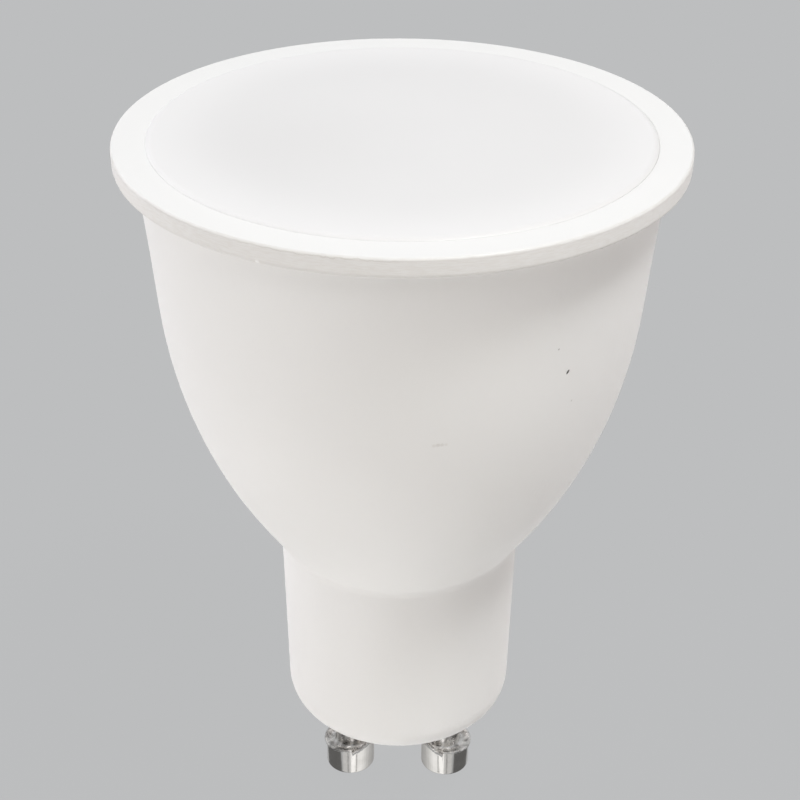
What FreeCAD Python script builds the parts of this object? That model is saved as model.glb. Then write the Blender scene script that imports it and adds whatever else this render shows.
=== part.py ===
import FreeCAD, Part
import math
import os
import re
import Sketcher

# GU10 reflector-shaped LED lamp, standing face up.
# Millimetres. The origin is the middle of the seating face between the two contact pins,
# +Z runs up the lamp's axis to the light face, and the pins stand side by side along X.

sizes = {
    # housing, outside
    "rim_radius": 25.0,
    "rim_thickness": 1.85,
    "rim_width": 2.95,
    "rim_draft": 0.05,
    "rim_overhang": 1.85,
    "rim_outer_round": 0.24,
    "rim_inner_round": 0.04,
    "rim_lower_round": 0.45,
    "bowl_flare_width": 1.25,
    "bowl_flare_height": 12.65,
    "bowl_curve_radius": 47.5,
    "bowl_body_height": 22.0,
    "bowl_foot_width": 1.865,
    "bowl_foot_share": 0.1,
    "bowl_foot_height": 4.3,
    "neck_top_radius": 11.5,
    "neck_draft": 0.38,
    "neck_height": 20.5,
    "neck_round": 3.4,
    "neck_fillet": 1.8,
    "plateau_height": 2.4,
    "plateau_half_straight": 4.5,
    "plateau_half_width": 3.5,
    "plateau_round": 0.5,
    # housing, inside
    "housing_wall": 1.4,
    "floor_thickness": 2.0,
    "floor_round": 0.7,
    "guide_wall": 1.2,
    "guide_grip": 0.9,
    "guide_gap": 0.08,
    "guide_lift": 0.6,
    "guide_drop": 3.45,
    # milky cover
    "cover_thickness": 1.5,
    "cover_rise": 0.18,
    "cover_gap": 0.03,
    "cover_round": 0.17,
    "skirt_wall": 1.0,
    "skirt_height": 4.3,
    "skirt_gap": 0.1,
    "skirt_slot": 3.0,
    "skirt_slot_count": 6,
    "snap_drop": 1.7,
    "snap_width": 1.6,
    "snap_reach": 0.4,
    "snap_gap": 0.08,
    # aluminium heat sink
    "sheet": 0.8,
    "sink_gap": 0.1,
    "sink_drop": 0.5,
    "bead_rise": 0.6,
    "bead_reach": 1.2,
    "bead_height": 1.5,
    # light board
    "led_board_thickness": 1.2,
    "led_board_gap": 0.1,
    "paste_thickness": 0.2,
    "paste_margin": 0.2,
    "outer_led_inset": 4.95,
    "outer_led_count": 8,
    "inner_led_share": 0.56,
    "inner_led_count": 4,
    "led_length": 3.5,
    "led_width": 2.8,
    "led_height": 0.7,
    "led_window_radius": 1.1,
    "led_window_depth": 0.3,
    # plug between the two boards
    "plug_pitch": 2.54,
    "plug_pin_radius": 0.32,
    "plug_pin_gap": 0.05,
    "plug_pin_entry": 2.2,
    "plug_base_length": 5.0,
    "plug_base_width": 2.5,
    "plug_base_height": 2.5,
    "plug_base_drop": 0.5,
    "plug_bend_drop": 1.1,
    "socket_length": 5.2,
    "socket_width": 4.0,
    "socket_height": 3.0,
    "plug_slot_margin": 0.8,
    # contact pins
    "pin_spacing": 10.0,
    "pin_length": 7.4,
    "pin_head_radius": 2.5,
    "pin_head_length": 3.1,
    "pin_lip_radius": 2.73,
    "pin_lip_height": 0.3,
    "pin_dish_depth": 0.25,
    "pin_dish_radius": 1.9,
    "pin_tip_round": 0.35,
    "pin_stem_radius": 1.5,
    "pin_stem_gap": 0.05,
    "pin_rivet_radius": 2.0,
    "pin_rivet_height": 0.8,
    "pin_bore_radius": 0.6,
    "pin_bore_floor": 3.8,
    # input wires
    "wire_radius": 0.45,
    "wire_core_radius": 0.25,
    "wire_start": 3.0,
    "wire_first_bend": 3.1,
    "wire_swing": 4.6,
    "wire_swing_rise": 2.7,
    "wire_run": 4.0,
    "wire_turn": 1.7,
    # driver board
    "board_thickness": 1.0,
    "board_floor_room": 4.6,
    "board_edge_gap": 1.26,
    "board_wing_gap": 0.6,
    "board_wing_rise": 3.3,
    "board_wing_height": 15.7,
    "lead_radius": 0.28,
    "lead_bend": 0.8,
    "lead_tail": 1.0,
    "hole_gap": 0.08,
    "part_gap": 0.2,
    # parts on the front of the driver board
    "fuse_rise": 2.0,
    "fuse_radius": 1.3,
    "fuse_length": 7.0,
    "fuse_half_pitch": 5.2,
    "film_rise": 4.2,
    "film_length": 9.2,
    "film_depth": 4.5,
    "film_height": 7.3,
    "film_round": 0.5,
    "film_half_pitch": 3.75,
    "small_can_radius": 3.15,
    "small_can_height": 8.5,
    "small_can_side": 3.6,
    "small_can_half_pitch": 1.25,
    "large_can_radius": 4.0,
    "large_can_height": 12.0,
    "large_can_side": 6.2,
    "large_can_half_pitch": 1.75,
    "large_can_rise": 3.5,
    "can_round": 0.5,
    "can_groove_rise": 1.6,
    "can_groove_half_width": 0.4,
    "can_groove_depth": 0.35,
    "can_lead_drop": 1.4,
    "can_room": 0.65,
    "choke_side": 3.9,
    "choke_rise": 3.65,
    "choke_radius": 2.8,
    "choke_hub_radius": 1.4,
    "choke_height": 6.0,
    "choke_flange": 0.9,
    "choke_winding_radius": 2.5,
    "choke_half_pitch": 2.0,
    "winding_gap": 0.05,
    # transformer
    "core_side": 5.9,
    "core_rise": 4.5,
    "core_length": 10.2,
    "core_height": 11.0,
    "core_depth": 4.75,
    "core_yoke": 1.6,
    "core_leg": 2.45,
    "core_outer_leg": 1.3,
    "core_air_gap": 0.1,
    "bobbin_gap": 0.1,
    "bobbin_wall": 0.4,
    "bobbin_flange": 0.6,
    "bobbin_half_depth": 4.3,
    "bobbin_pin_inset": 0.7,
    "coil_margin": 0.2,
    "coil_round": 0.5,
    "tape_thickness": 0.15,
    "tape_width": 4.0,
    "tape_gap": 0.03,
    # parts on the back of the driver board
    "rectifier_rise": 3.2,
    "rectifier_length": 4.7,
    "rectifier_width": 3.9,
    "rectifier_height": 2.5,
    "chip_rise": 4.45,
    "chip_length": 4.9,
    "chip_width": 3.9,
    "chip_height": 1.5,
    "chip_round": 0.12,
    "leg_reach": 1.0,
    "leg_width": 0.4,
    "leg_sheet": 0.2,
    "chip_leg_pitch": 1.27,
    "chip_leg_count": 4,
    "rectifier_leg_pitch": 2.54,
    "rectifier_leg_count": 2,
    "diode_rise": 10.0,
    "diode_length": 4.3,
    "diode_width": 2.6,
    "diode_height": 2.1,
    "resistor_length": 3.2,
    "resistor_width": 1.6,
    "resistor_height": 0.6,
    "resistor_pitch": 3.0,
    "resistor_count": 4,
    "resistor_inset": 4.0,
    "resistor_rise": 6.0,
    "capacitor_length": 2.0,
    "capacitor_width": 1.25,
    "capacitor_height": 0.9,
    "capacitor_inset": 2.3,
    "capacitor_rise": 3.65,
}

# Levels and radii that follow from the sizes above, each one used by more than one piece.
worked = {
    "shoulder_level": "plateau_height + neck_height",
    "turn_level": "shoulder_level + bowl_foot_height",
    "side_level": "turn_level + bowl_body_height",
    "rim_under_level": "side_level + bowl_flare_height",
    "rim_level": "rim_under_level + rim_thickness",
    "rim_lower_radius": "rim_radius - rim_draft",
    "rim_inner_radius": "rim_radius - rim_width",
    "bowl_top_radius": "rim_lower_radius - rim_overhang",
    "bowl_side_radius": "bowl_top_radius - bowl_flare_width",
    "bowl_width": "bowl_side_radius - neck_top_radius",
    "bowl_turn_radius": "neck_top_radius + bowl_foot_width + bowl_width * bowl_foot_share",
    "neck_bottom_radius": "neck_top_radius - neck_draft",
    "floor_level": "plateau_height + floor_thickness",
    "bore_radius": "bowl_side_radius - housing_wall",
    "neck_bore_radius": "neck_bottom_radius - housing_wall",
    "cover_level": "rim_level + cover_rise",
    "seat_level": "cover_level - cover_thickness",
    "snap_level": "seat_level - snap_drop",
    "skirt_radius": "bore_radius - skirt_gap",
    "skirt_level": "seat_level - skirt_height",
    "sink_inset": "housing_wall + sink_gap",
    "sink_radius": "bowl_side_radius - sink_inset",
    "sink_bore_radius": "sink_radius - sheet",
    "sink_level": "skirt_level - sink_drop",
    "ledge_level": "side_level + bead_rise + bead_reach + bead_height",
    "ledge_radius": "sink_bore_radius - bead_reach",
    "led_board_radius": "sink_bore_radius - led_board_gap",
    "led_board_level": "ledge_level + paste_thickness",
    "led_top_level": "led_board_level + led_board_thickness",
    "outer_led_ring": "led_board_radius - outer_led_inset",
    "inner_led_ring": "outer_led_ring * inner_led_share",
    "pin_side": "pin_spacing / 2",
    "pin_rivet_level": "floor_level + pin_rivet_height",
    "face": "board_thickness / 2",
    "board_level": "floor_level + board_floor_room",
    "board_half": "neck_bore_radius - board_edge_gap",
    "wing_half": "bowl_turn_radius - sink_inset - sheet - board_wing_gap",
    "wing_level": "turn_level + board_wing_rise",
    "board_top_level": "wing_level + board_wing_height",
    "lead_end": "face + lead_tail",
    "guide_level": "pin_rivet_level + guide_lift",
    "guide_top_level": "shoulder_level - guide_drop",
    "plug_side": "plug_pitch / 2",
    "plug_depth": "face + plug_base_width / 2",
    "plug_base_level": "board_top_level - plug_base_drop - plug_base_height",
    "plug_bend_level": "plug_base_level - plug_bend_drop",
    "fuse_level": "board_level + fuse_rise",
    "film_level": "board_level + film_rise + film_height / 2",
    "large_can_level": "wing_level + large_can_rise",
    "small_can_level": "large_can_level - can_lead_drop - can_room - small_can_height",
    "choke_level": "shoulder_level + choke_rise",
    "core_level": "wing_level + core_rise + core_height / 2 - core_yoke",
    "core_half": "core_height / 2",
    "core_window": "core_length / 2 - core_outer_leg",
    "bobbin_half": "core_half - core_yoke - bobbin_gap",
    "bobbin_tube": "core_leg / 2 + bobbin_gap + bobbin_wall",
    "bobbin_tube_depth": "core_depth / 2 + bobbin_gap + bobbin_wall",
    "core_depth_middle": "face + part_gap + bobbin_half_depth",
    "bobbin_pin_rise": "bobbin_half - bobbin_flange / 2",
    "bobbin_pin_side": "core_window - bobbin_pin_inset",
    "wire_bend_level": "pin_rivet_level + wire_first_bend",
    "wire_swing_level": "wire_bend_level + wire_swing_rise",
    "wire_run_level": "wire_swing_level + wire_run",
    "wire_hole_level": "wire_run_level + wire_turn",
    "rectifier_level": "board_level + rectifier_rise",
    "chip_level": "shoulder_level + chip_rise",
    "resistor_side": "wing_half - resistor_inset",
    "capacitor_side": "board_half - capacitor_inset",
}

# How near two places are to count as one, and how much of a run an arc may take.
same_place = 0.01
run_share = 0.45

doc = FreeCAD.newDocument("Lamp")
pieces = []


def fill_sheet(name, rows):
    sheet = doc.addObject("Spreadsheet::Sheet", name)
    for row, (alias, text) in enumerate(rows, 1):
        cell = "A%d" % row
        sheet.set(cell, text)
        sheet.setAlias(cell, alias)
    return sheet


def linked(text):
    """The formula with each size's name led by the sheet that holds it."""
    def full_name(match):
        word = match.group(0)
        if word in sizes:
            return "Sizes." + word
        if word in worked:
            return "Worked." + word
        return word
    return re.sub(r"[a-z_]+", full_name, text)


def number(text):
    return float(worked_sheet.evalExpression(linked(text)))


def whole(name):
    return int(round(number(name)))


size_sheet = fill_sheet("Sizes", [(name, str(value)) for name, value in sizes.items()])
worked_sheet = fill_sheet("Worked", [(name, "=" + linked(text)) for name, text in worked.items()])
doc.recompute()


# Sketches

def new_body(name):
    body = doc.addObject("PartDesign::Body", name)
    body.Label = name
    return body


def new_sketch(body, plane_role, level=None):
    plane = [item for item in body.Origin.OriginFeatures if item.Role == plane_role][0]
    sketch = body.newObject("Sketcher::SketchObject", body.Name + "_outline")
    sketch.AttachmentSupport = [(plane, "")]
    sketch.MapMode = "FlatFace"
    if level:
        sketch.setExpression("AttachmentOffset.Base.z", linked(level))
    return sketch


def pin_down(sketch, kind, items, text):
    """A dimension of the sketch that follows a formula."""
    index = sketch.addConstraint(Sketcher.Constraint(kind, *items, number(text)))
    sketch.setExpression("Constraints[%d]" % index, linked(text))


def arc_centre(start, end, radius, side):
    """Centre of the arc from start to end, to the left of the way for side 1, right for -1."""
    half = (end - start) / 2
    rise = math.sqrt(radius ** 2 - half.Length ** 2)
    left = FreeCAD.Vector(-half.y, half.x, 0).normalize()
    return start + half + left * rise * side


def touching_centre(shared, other, neighbour_centre):
    """Centre of the arc that runs on smoothly from a neighbour at the shared corner."""
    toward = (neighbour_centre - shared).normalize()
    gap = other - shared
    return shared + toward * (gap.dot(gap) / (2 * gap.dot(toward)))


def sorted_angles(centre, start, end, forward):
    """Angles where the arc begins and ends, counted anticlockwise."""
    first, last = (start, end) if forward else (end, start)
    low = math.atan2(first.y - centre.y, first.x - centre.x)
    high = math.atan2(last.y - centre.y, last.x - centre.x)
    return low, high if high > low else high + 2 * math.pi


def draw_loop(sketch, corners):
    """A closed outline. A corner is (x, y), or (x, y, edge) where the edge that leaves it is
    ("arc", radius, side), ("runs into next",) or ("runs on",)."""
    count = len(corners)
    points = [FreeCAD.Vector(number(corner[0]), number(corner[1]), 0) for corner in corners]
    edges = [corner[2] if len(corner) > 2 else None for corner in corners]
    centres = [None] * count
    for index, edge in enumerate(edges):
        if edge and edge[0] == "arc":
            end = points[(index + 1) % count]
            centres[index] = arc_centre(points[index], end, number(edge[1]), edge[2])
    for index, edge in enumerate(edges):
        following = (index + 1) % count
        if edge == ("runs into next",):
            centres[index] = touching_centre(points[following], points[index], centres[following])
        if edge == ("runs on",):
            centres[index] = touching_centre(points[index], points[following], centres[index - 1])
    ends = []
    for index, centre in enumerate(centres):
        start, end = points[index], points[(index + 1) % count]
        if centre is None:
            ends.append((sketch.addGeometry(Part.LineSegment(start, end)), 1, 2))
            continue
        circle = Part.Circle(centre, FreeCAD.Vector(0, 0, 1), (start - centre).Length)
        forward = (start - centre).cross(end - centre).z > 0
        angles = sorted_angles(centre, start, end, forward)
        item = sketch.addGeometry(Part.ArcOfCircle(circle, *angles))
        ends.append((item, 1, 2) if forward else (item, 2, 1))
    for index, (item, first, last) in enumerate(ends):
        following = (index + 1) % count
        next_item, next_first, _ = ends[following]
        smooth = edges[index] == ("runs into next",) or edges[following] == ("runs on",)
        kind = "Tangent" if smooth else "Coincident"
        sketch.addConstraint(Sketcher.Constraint(kind, item, last, next_item, next_first))
        pin_down(sketch, "DistanceX", (-1, 1, item, first), corners[index][0])
        pin_down(sketch, "DistanceY", (-1, 1, item, first), corners[index][1])
        if edges[index] and edges[index][0] == "arc":
            pin_down(sketch, "Radius", (item,), edges[index][1])


def draw_circle(sketch, x, y, radius):
    middle = FreeCAD.Vector(number(x), number(y), 0)
    circle = Part.Circle(middle, FreeCAD.Vector(0, 0, 1), number(radius))
    item = sketch.addGeometry(circle)
    pin_down(sketch, "DistanceX", (-1, 1, item, 3), x)
    pin_down(sketch, "DistanceY", (-1, 1, item, 3), y)
    pin_down(sketch, "Radius", (item,), radius)


def rectangle(low_x, low_y, high_x, high_y):
    return [(low_x, low_y), (high_x, low_y), (high_x, high_y), (low_x, high_y)]


# Features

def spin(body, corners):
    """A solid of revolution about Z."""
    sketch = new_sketch(body, "XZ_Plane")
    draw_loop(sketch, corners)
    turned = body.newObject("PartDesign::Revolution", body.Name + "_turned")
    turned.Profile = sketch
    turned.ReferenceAxis = (sketch, ["V_Axis"])
    turned.Angle = 360
    doc.recompute()
    return turned


def extrude(body, kind, sketch, length, against=False, both_ways=False):
    """A pad or a pocket, which has to change the body's volume."""
    before = body.Shape.Volume if body.Shape.Solids else 0
    feature = body.newObject(kind, body.Name + "_step")
    feature.Profile = sketch
    feature.setExpression("Length", linked(length))
    feature.Reversed = against
    feature.Midplane = both_ways
    doc.recompute()
    change = body.Shape.Volume - before
    if (change > 0) != (kind == "PartDesign::Pad"):
        raise ValueError("%s does not change %s as it should" % (feature.Name, body.Label))
    return feature


def around(body, feature, copies):
    """Repeats a feature about the lamp's axis."""
    pattern = body.newObject("PartDesign::PolarPattern", body.Name + "_pattern")
    pattern.Originals = [feature]
    pattern.Axis = (feature.Profile[0], ["N_Axis"])
    pattern.Angle = 360
    pattern.setExpression("Occurrences", linked(copies))
    body.Tip = pattern
    doc.recompute()
    return pattern


def round_rings(body, rings, radius):
    """Rounds the circular edges at the given (radius, level) pairs."""
    base = body.Tip
    wanted = [(number(ring), number(level)) for ring, level in rings]
    names = []
    for index, edge in enumerate(base.Shape.Edges, 1):
        if not isinstance(edge.Curve, Part.Circle):
            continue
        place = (edge.Curve.Radius, edge.Curve.Center.z)
        if any(math.dist(place, ring) < same_place for ring in wanted):
            names.append("Edge%d" % index)
    if len(names) < len(rings):
        raise ValueError("an edge to round is missing on " + body.Label)
    rounding = body.newObject("PartDesign::Fillet", body.Name + "_rounding")
    rounding.Base = (base, names)
    rounding.setExpression("Radius", linked(radius))
    doc.recompute()


def move(item, x, y, z):
    item.setExpression("Placement.Base.x", linked(x))
    item.setExpression("Placement.Base.y", linked(y))
    item.setExpression("Placement.Base.z", linked(z))


def block(name, size, middle):
    """A box about its middle point."""
    box = doc.addObject("Part::Box", name)
    box.Label = name
    for side, length in zip(("Length", "Width", "Height"), size):
        box.setExpression(side, linked(length))
    move(box, *["%s - (%s) / 2" % pair for pair in zip(middle, size)])
    return box


def soft_block(name, size, middle, radius):
    """A box about its middle point, with every edge rounded."""
    body = new_body(name)
    box = body.newObject("PartDesign::AdditiveBox", name + "_box")
    for side, length in zip(("Length", "Width", "Height"), size):
        box.setExpression(side, linked(length))
    doc.recompute()
    rounding = body.newObject("PartDesign::Fillet", name + "_rounding")
    rounding.Base = (box, ["Edge1"])
    rounding.UseAllEdges = True
    rounding.setExpression("Radius", linked(radius))
    move(body, *["%s - (%s) / 2" % pair for pair in zip(middle, size)])
    return body


def rod(name, radius, length, start, way):
    """A cylinder from a start point along one of the axes."""
    cylinder = doc.addObject("Part::Cylinder", name)
    cylinder.Label = name
    cylinder.setExpression("Radius", linked(radius))
    cylinder.setExpression("Height", linked(length))
    direction = {"X": (1, 0, 0), "-Y": (0, -1, 0), "Y": (0, 1, 0), "Z": (0, 0, 1)}[way]
    turn = FreeCAD.Rotation(FreeCAD.Vector(0, 0, 1), FreeCAD.Vector(*direction))
    cylinder.Placement = FreeCAD.Placement(FreeCAD.Vector(), turn)
    move(cylinder, *start)
    return cylinder


def cut(name, base, tool):
    result = doc.addObject("Part::Cut", name)
    result.Label = name
    result.Base = base
    result.Tool = tool
    return result


def joined(name, items):
    result = doc.addObject("Part::MultiFuse", name)
    result.Label = name
    result.Shapes = items
    return result


def grouped(name, items):
    result = doc.addObject("Part::Compound", name)
    result.Label = name
    result.Links = items
    return result


def point(x, y, z):
    return FreeCAD.Vector(number(x), number(y), number(z))


def smooth_path(points, largest=None):
    """Straight runs joined by tangent arcs, each as large as its two runs allow."""
    edges = []
    radii = []
    start = points[0]
    for index in range(1, len(points) - 1):
        corner = points[index]
        back = (points[index - 1] - corner)
        ahead = (points[index + 1] - corner)
        half_turn = (math.pi - back.getAngle(ahead)) / 2
        radius = run_share * min(back.Length, ahead.Length) / math.tan(half_turn)
        if largest:
            radius = min(radius, largest)
        setback = radius * math.tan(half_turn)
        back.normalize()
        ahead.normalize()
        inward = (back + ahead).normalize()
        first = corner + back * setback
        last = corner + ahead * setback
        centre = corner + inward * (radius / math.cos(half_turn))
        crown = centre - inward * radius
        edges.append(Part.LineSegment(start, first).toShape())
        edges.append(Part.Arc(first, crown, last).toShape())
        radii.append(radius)
        start = last
    edges.append(Part.LineSegment(start, points[-1]).toShape())
    return Part.Wire(edges), radii


def tube(path, radius):
    """A round solid along a path."""
    first = path.OrderedEdges[0]
    way = first.tangentAt(first.FirstParameter)
    ring = Part.Circle(first.valueAt(first.FirstParameter), way, radius)
    return path.makePipeShell([Part.Wire([ring.toShape()])], True, True)


def bent_lead(name, points, radius="lead_radius"):
    """A wire lead of the board's parts, with the board's usual bend."""
    path, _ = smooth_path(points, number("lead_bend"))
    lead = doc.addObject("Part::Feature", name)
    lead.Label = name
    lead.Shape = tube(path, number(radius))
    lead.Placement = FreeCAD.Placement()
    return lead


def keep(item):
    """Lists a finished piece for the files."""
    pieces.append(item)
    return item


# Housing: white shell with the rim, the bowl, the neck and the plateau that the pins stand on

def bowl_inside(inset, down):
    """Corners of the bowl's wall moved in by a distance, in the way down or up."""
    side = ("bowl_side_radius - " + inset, "side_level")
    turn = ("bowl_turn_radius - " + inset, "turn_level")
    foot = ("neck_top_radius - " + inset, "shoulder_level")
    if down:
        return [side + (("arc", "bowl_curve_radius", -1),), turn + (("runs on",),), foot]
    return [foot + (("runs into next",),), turn + (("arc", "bowl_curve_radius", 1),), side]


def make_housing():
    housing = new_body("housing")
    inset = "(housing_wall)"
    outside = [
        ("0", "plateau_height"),
        ("neck_bottom_radius - neck_round", "plateau_height", ("arc", "neck_round", 1)),
        ("neck_bottom_radius", "plateau_height + neck_round"),
        ("neck_top_radius", "shoulder_level", ("runs into next",)),
        ("bowl_turn_radius", "turn_level", ("arc", "bowl_curve_radius", 1)),
        ("bowl_side_radius", "side_level", ("runs on",)),
        ("bowl_top_radius", "rim_under_level"),
        ("rim_lower_radius", "rim_under_level"),
        ("rim_radius", "rim_level"),
        ("rim_inner_radius", "rim_level"),
        ("rim_inner_radius", "seat_level"),
        ("bore_radius", "seat_level"),
    ]
    snap_groove = [
        ("bore_radius", "snap_level + snap_gap"),
        ("bore_radius + snap_reach", "snap_level - snap_reach + snap_gap"),
        ("bore_radius + snap_reach", "snap_level - snap_width / 2 - snap_gap"),
        ("bore_radius", "snap_level - snap_width - snap_gap"),
    ]
    inside = bowl_inside(inset, down=True) + [
        ("neck_bore_radius", "floor_level + floor_round", ("arc", "floor_round", -1)),
        ("neck_bore_radius - floor_round", "floor_level"),
        ("0", "floor_level"),
    ]
    spin(housing, outside + snap_groove + inside)
    round_rings(housing, [("rim_radius", "rim_level")], "rim_outer_round")
    round_rings(housing, [("rim_inner_radius", "rim_level")], "rim_inner_round")
    round_rings(housing, [("rim_lower_radius", "rim_under_level")], "rim_lower_round")
    round_rings(housing, [("neck_top_radius", "shoulder_level")], "neck_fillet")

    plateau = new_sketch(housing, "XY_Plane")
    half, wide = "plateau_half_straight", "plateau_half_width"
    draw_loop(plateau, [
        ("-" + half, "-" + wide),
        (half, "-" + wide, ("arc", wide, 1)),
        (half + " + " + wide, "0", ("arc", wide, 1)),
        (half, wide),
        ("-" + half, wide, ("arc", wide, 1)),
        ("-%s - %s" % (half, wide), "0", ("arc", wide, 1)),
    ])
    extrude(housing, "PartDesign::Pad", plateau, "plateau_height + floor_thickness / 2")
    soften_plateau(housing)

    bores = new_sketch(housing, "XY_Plane")
    for side in ("", "-"):
        draw_circle(bores, side + "pin_side", "0", "pin_stem_radius + pin_stem_gap")
    extrude(housing, "PartDesign::Pocket", bores, "floor_level + pin_rivet_height", against=True)

    guides = new_sketch(housing, "XY_Plane", "guide_level")
    inner = "board_half - guide_grip"
    outer = "neck_bore_radius + housing_wall / 2"
    reach = "face + guide_gap + guide_wall"
    draw_loop(guides, rectangle(inner, "-(%s)" % reach, outer, reach))
    draw_loop(guides, rectangle("-(%s)" % outer, "-(%s)" % reach, "-(%s)" % inner, reach))
    extrude(housing, "PartDesign::Pad", guides, "guide_top_level - guide_level")
    slots = new_sketch(housing, "XY_Plane", "board_level")
    outer = "board_half + guide_gap"
    reach = "face + guide_gap"
    draw_loop(slots, rectangle(inner, "-(%s)" % reach, outer, reach))
    draw_loop(slots, rectangle("-(%s)" % outer, "-(%s)" % reach, "-(%s)" % inner, reach))
    extrude(housing, "PartDesign::Pocket", slots, "guide_top_level - board_level", against=True)
    keep(housing)


def soften_plateau(housing):
    """Rounds the lower edge of the plateau."""
    base = housing.Tip
    names = []
    for index, edge in enumerate(base.Shape.Edges, 1):
        if max(abs(vertex.Z) for vertex in edge.Vertexes) < same_place:
            names.append("Edge%d" % index)
    rounding = housing.newObject("PartDesign::Fillet", "plateau_rounding")
    rounding.Base = (base, names)
    rounding.setExpression("Radius", linked("plateau_round"))
    doc.recompute()


# Milky cover: a disc with a slit skirt that snaps into the bowl

def make_cover():
    cover = new_body("diffuser_cover")
    edge = "rim_inner_radius - cover_gap"
    inner = "skirt_radius - skirt_wall"
    spin(cover, [
        ("0", "seat_level"),
        (inner, "seat_level"),
        (inner, "skirt_level"),
        ("skirt_radius", "skirt_level"),
        ("skirt_radius", "snap_level - snap_width"),
        ("skirt_radius + snap_reach", "snap_level - snap_width / 2"),
        ("skirt_radius + snap_reach", "snap_level - snap_reach"),
        ("skirt_radius", "snap_level"),
        ("skirt_radius", "seat_level"),
        (edge, "seat_level"),
        (edge, "cover_level"),
        ("0", "cover_level"),
    ])
    round_rings(cover, [(edge, "cover_level")], "cover_round")
    slot = new_sketch(cover, "XY_Plane", "skirt_level")
    draw_loop(slot, rectangle(inner + " - skirt_wall", "-skirt_slot / 2",
                              "skirt_radius + snap_reach + skirt_wall", "skirt_slot / 2"))
    slit = extrude(cover, "PartDesign::Pocket", slot, "skirt_height - cover_gap", against=True)
    around(cover, slit, "skirt_slot_count")
    keep(cover)


# Heat sink: drawn aluminium cup that lines the bowl, with a rolled bead for the light board

def make_heat_sink():
    sink = new_body("heat_sink")
    outer_foot = bowl_inside("sink_inset", down=False)
    inner_foot = bowl_inside("(sink_inset + sheet)", down=True)
    outer_bead = [
        ("sink_radius", "ledge_level - bead_height - bead_reach"),
        ("sink_radius - bead_reach", "ledge_level - bead_height"),
        ("sink_radius - bead_reach", "ledge_level - sheet"),
        ("sink_radius", "ledge_level - sheet"),
    ]
    inner_bead = [
        ("sink_bore_radius", "ledge_level"),
        ("ledge_radius", "ledge_level"),
        ("ledge_radius", "ledge_level - bead_height"),
        ("sink_bore_radius", "ledge_level - bead_height - bead_reach"),
    ]
    top = [("sink_radius", "sink_level"), ("sink_bore_radius", "sink_level")]
    spin(sink, outer_foot + outer_bead + top + inner_bead + inner_foot)
    keep(sink)


# Light board with its LEDs, the paste under it and the socket on it

def make_light_board():
    paste = new_body("thermal_paste")
    spin(paste, rectangle("ledge_radius + paste_margin", "ledge_level",
                          "led_board_radius - paste_margin", "led_board_level"))
    keep(paste)

    board = new_body("led_board")
    disc = new_sketch(board, "XY_Plane", "led_board_level")
    draw_circle(disc, "0", "0", "led_board_radius")
    half_slot = "plug_side + plug_pin_radius + plug_slot_margin"
    reach = "plug_pin_radius + plug_slot_margin"
    draw_loop(disc, rectangle("-(%s)" % half_slot, "plug_depth - (%s)" % reach,
                              half_slot, "plug_depth + %s" % reach))
    extrude(board, "PartDesign::Pad", disc, "led_board_thickness")
    keep(board)

    cases = []
    lenses = []
    rings = (("outer_led", 0), ("inner_led", 45))
    for ring, first_angle in rings:
        count = whole(ring + "_count")
        for step in range(count):
            angle = first_angle + 360 * step / count
            x = "%s_ring * cos(%s)" % (ring, angle)
            y = "%s_ring * sin(%s)" % (ring, angle)
            name = "%s_%d" % (ring, step + 1)
            middle = (x, y, "led_top_level + led_height / 2")
            case = block(name, ("led_width", "led_length", "led_height"), middle)
            floor = "led_top_level + led_height - led_window_depth"
            window = rod(name + "_window", "led_window_radius", "led_height", (x, y, floor), "Z")
            cases.append(cut(name + "_case", case, window))
            lenses.append(rod(name + "_lens", "led_window_radius", "led_window_depth",
                              (x, y, floor), "Z"))
    keep(grouped("led_packages", cases))
    keep(grouped("led_phosphors", lenses))

    middle = ("0", "plug_depth", "led_top_level + socket_height / 2")
    shell = block("socket_shell", ("socket_length", "socket_width", "socket_height"), middle)
    bores = plug_bores("socket", "led_top_level", "socket_height")
    keep(cut("led_board_socket", shell, bores))


def plug_bores(name, level, height):
    """Two bores that the plug's pins pass with a small gap."""
    bores = []
    for side in ("", "-"):
        start = (side + "plug_side", "plug_depth", level)
        bore = rod(name + "_bore", "plug_pin_radius + plug_pin_gap", height, start, "Z")
        bores.append(bore)
    return joined(name + "_bores", bores)


# Contact pins: turned studs, riveted over inside, with a bore for the wire

def make_contact_pins():
    for name, side in (("contact_pin_left", "-"), ("contact_pin_right", "")):
        pin = new_body(name)
        head_top = "pin_head_length - pin_length"
        spin(pin, [
            ("0", "-pin_length"),
            ("pin_head_radius - pin_tip_round", "-pin_length", ("arc", "pin_tip_round", 1)),
            ("pin_head_radius", "pin_tip_round - pin_length"),
            ("pin_head_radius", head_top + " - pin_lip_height"),
            ("pin_lip_radius", head_top),
            ("pin_dish_radius", head_top + " - pin_dish_depth"),
            ("pin_stem_radius", head_top),
            ("pin_stem_radius", "floor_level"),
            ("pin_rivet_radius", "floor_level"),
            ("pin_rivet_radius", "floor_level + pin_rivet_height / 2"),
            ("pin_bore_radius + pin_rivet_height / 2", "pin_rivet_level"),
            ("pin_bore_radius", "pin_rivet_level"),
            ("pin_bore_radius", "pin_bore_floor - pin_length"),
            ("0", "pin_bore_floor - pin_length"),
        ])
        move(pin, side + "pin_side", "0", "0")
        keep(pin)


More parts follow.
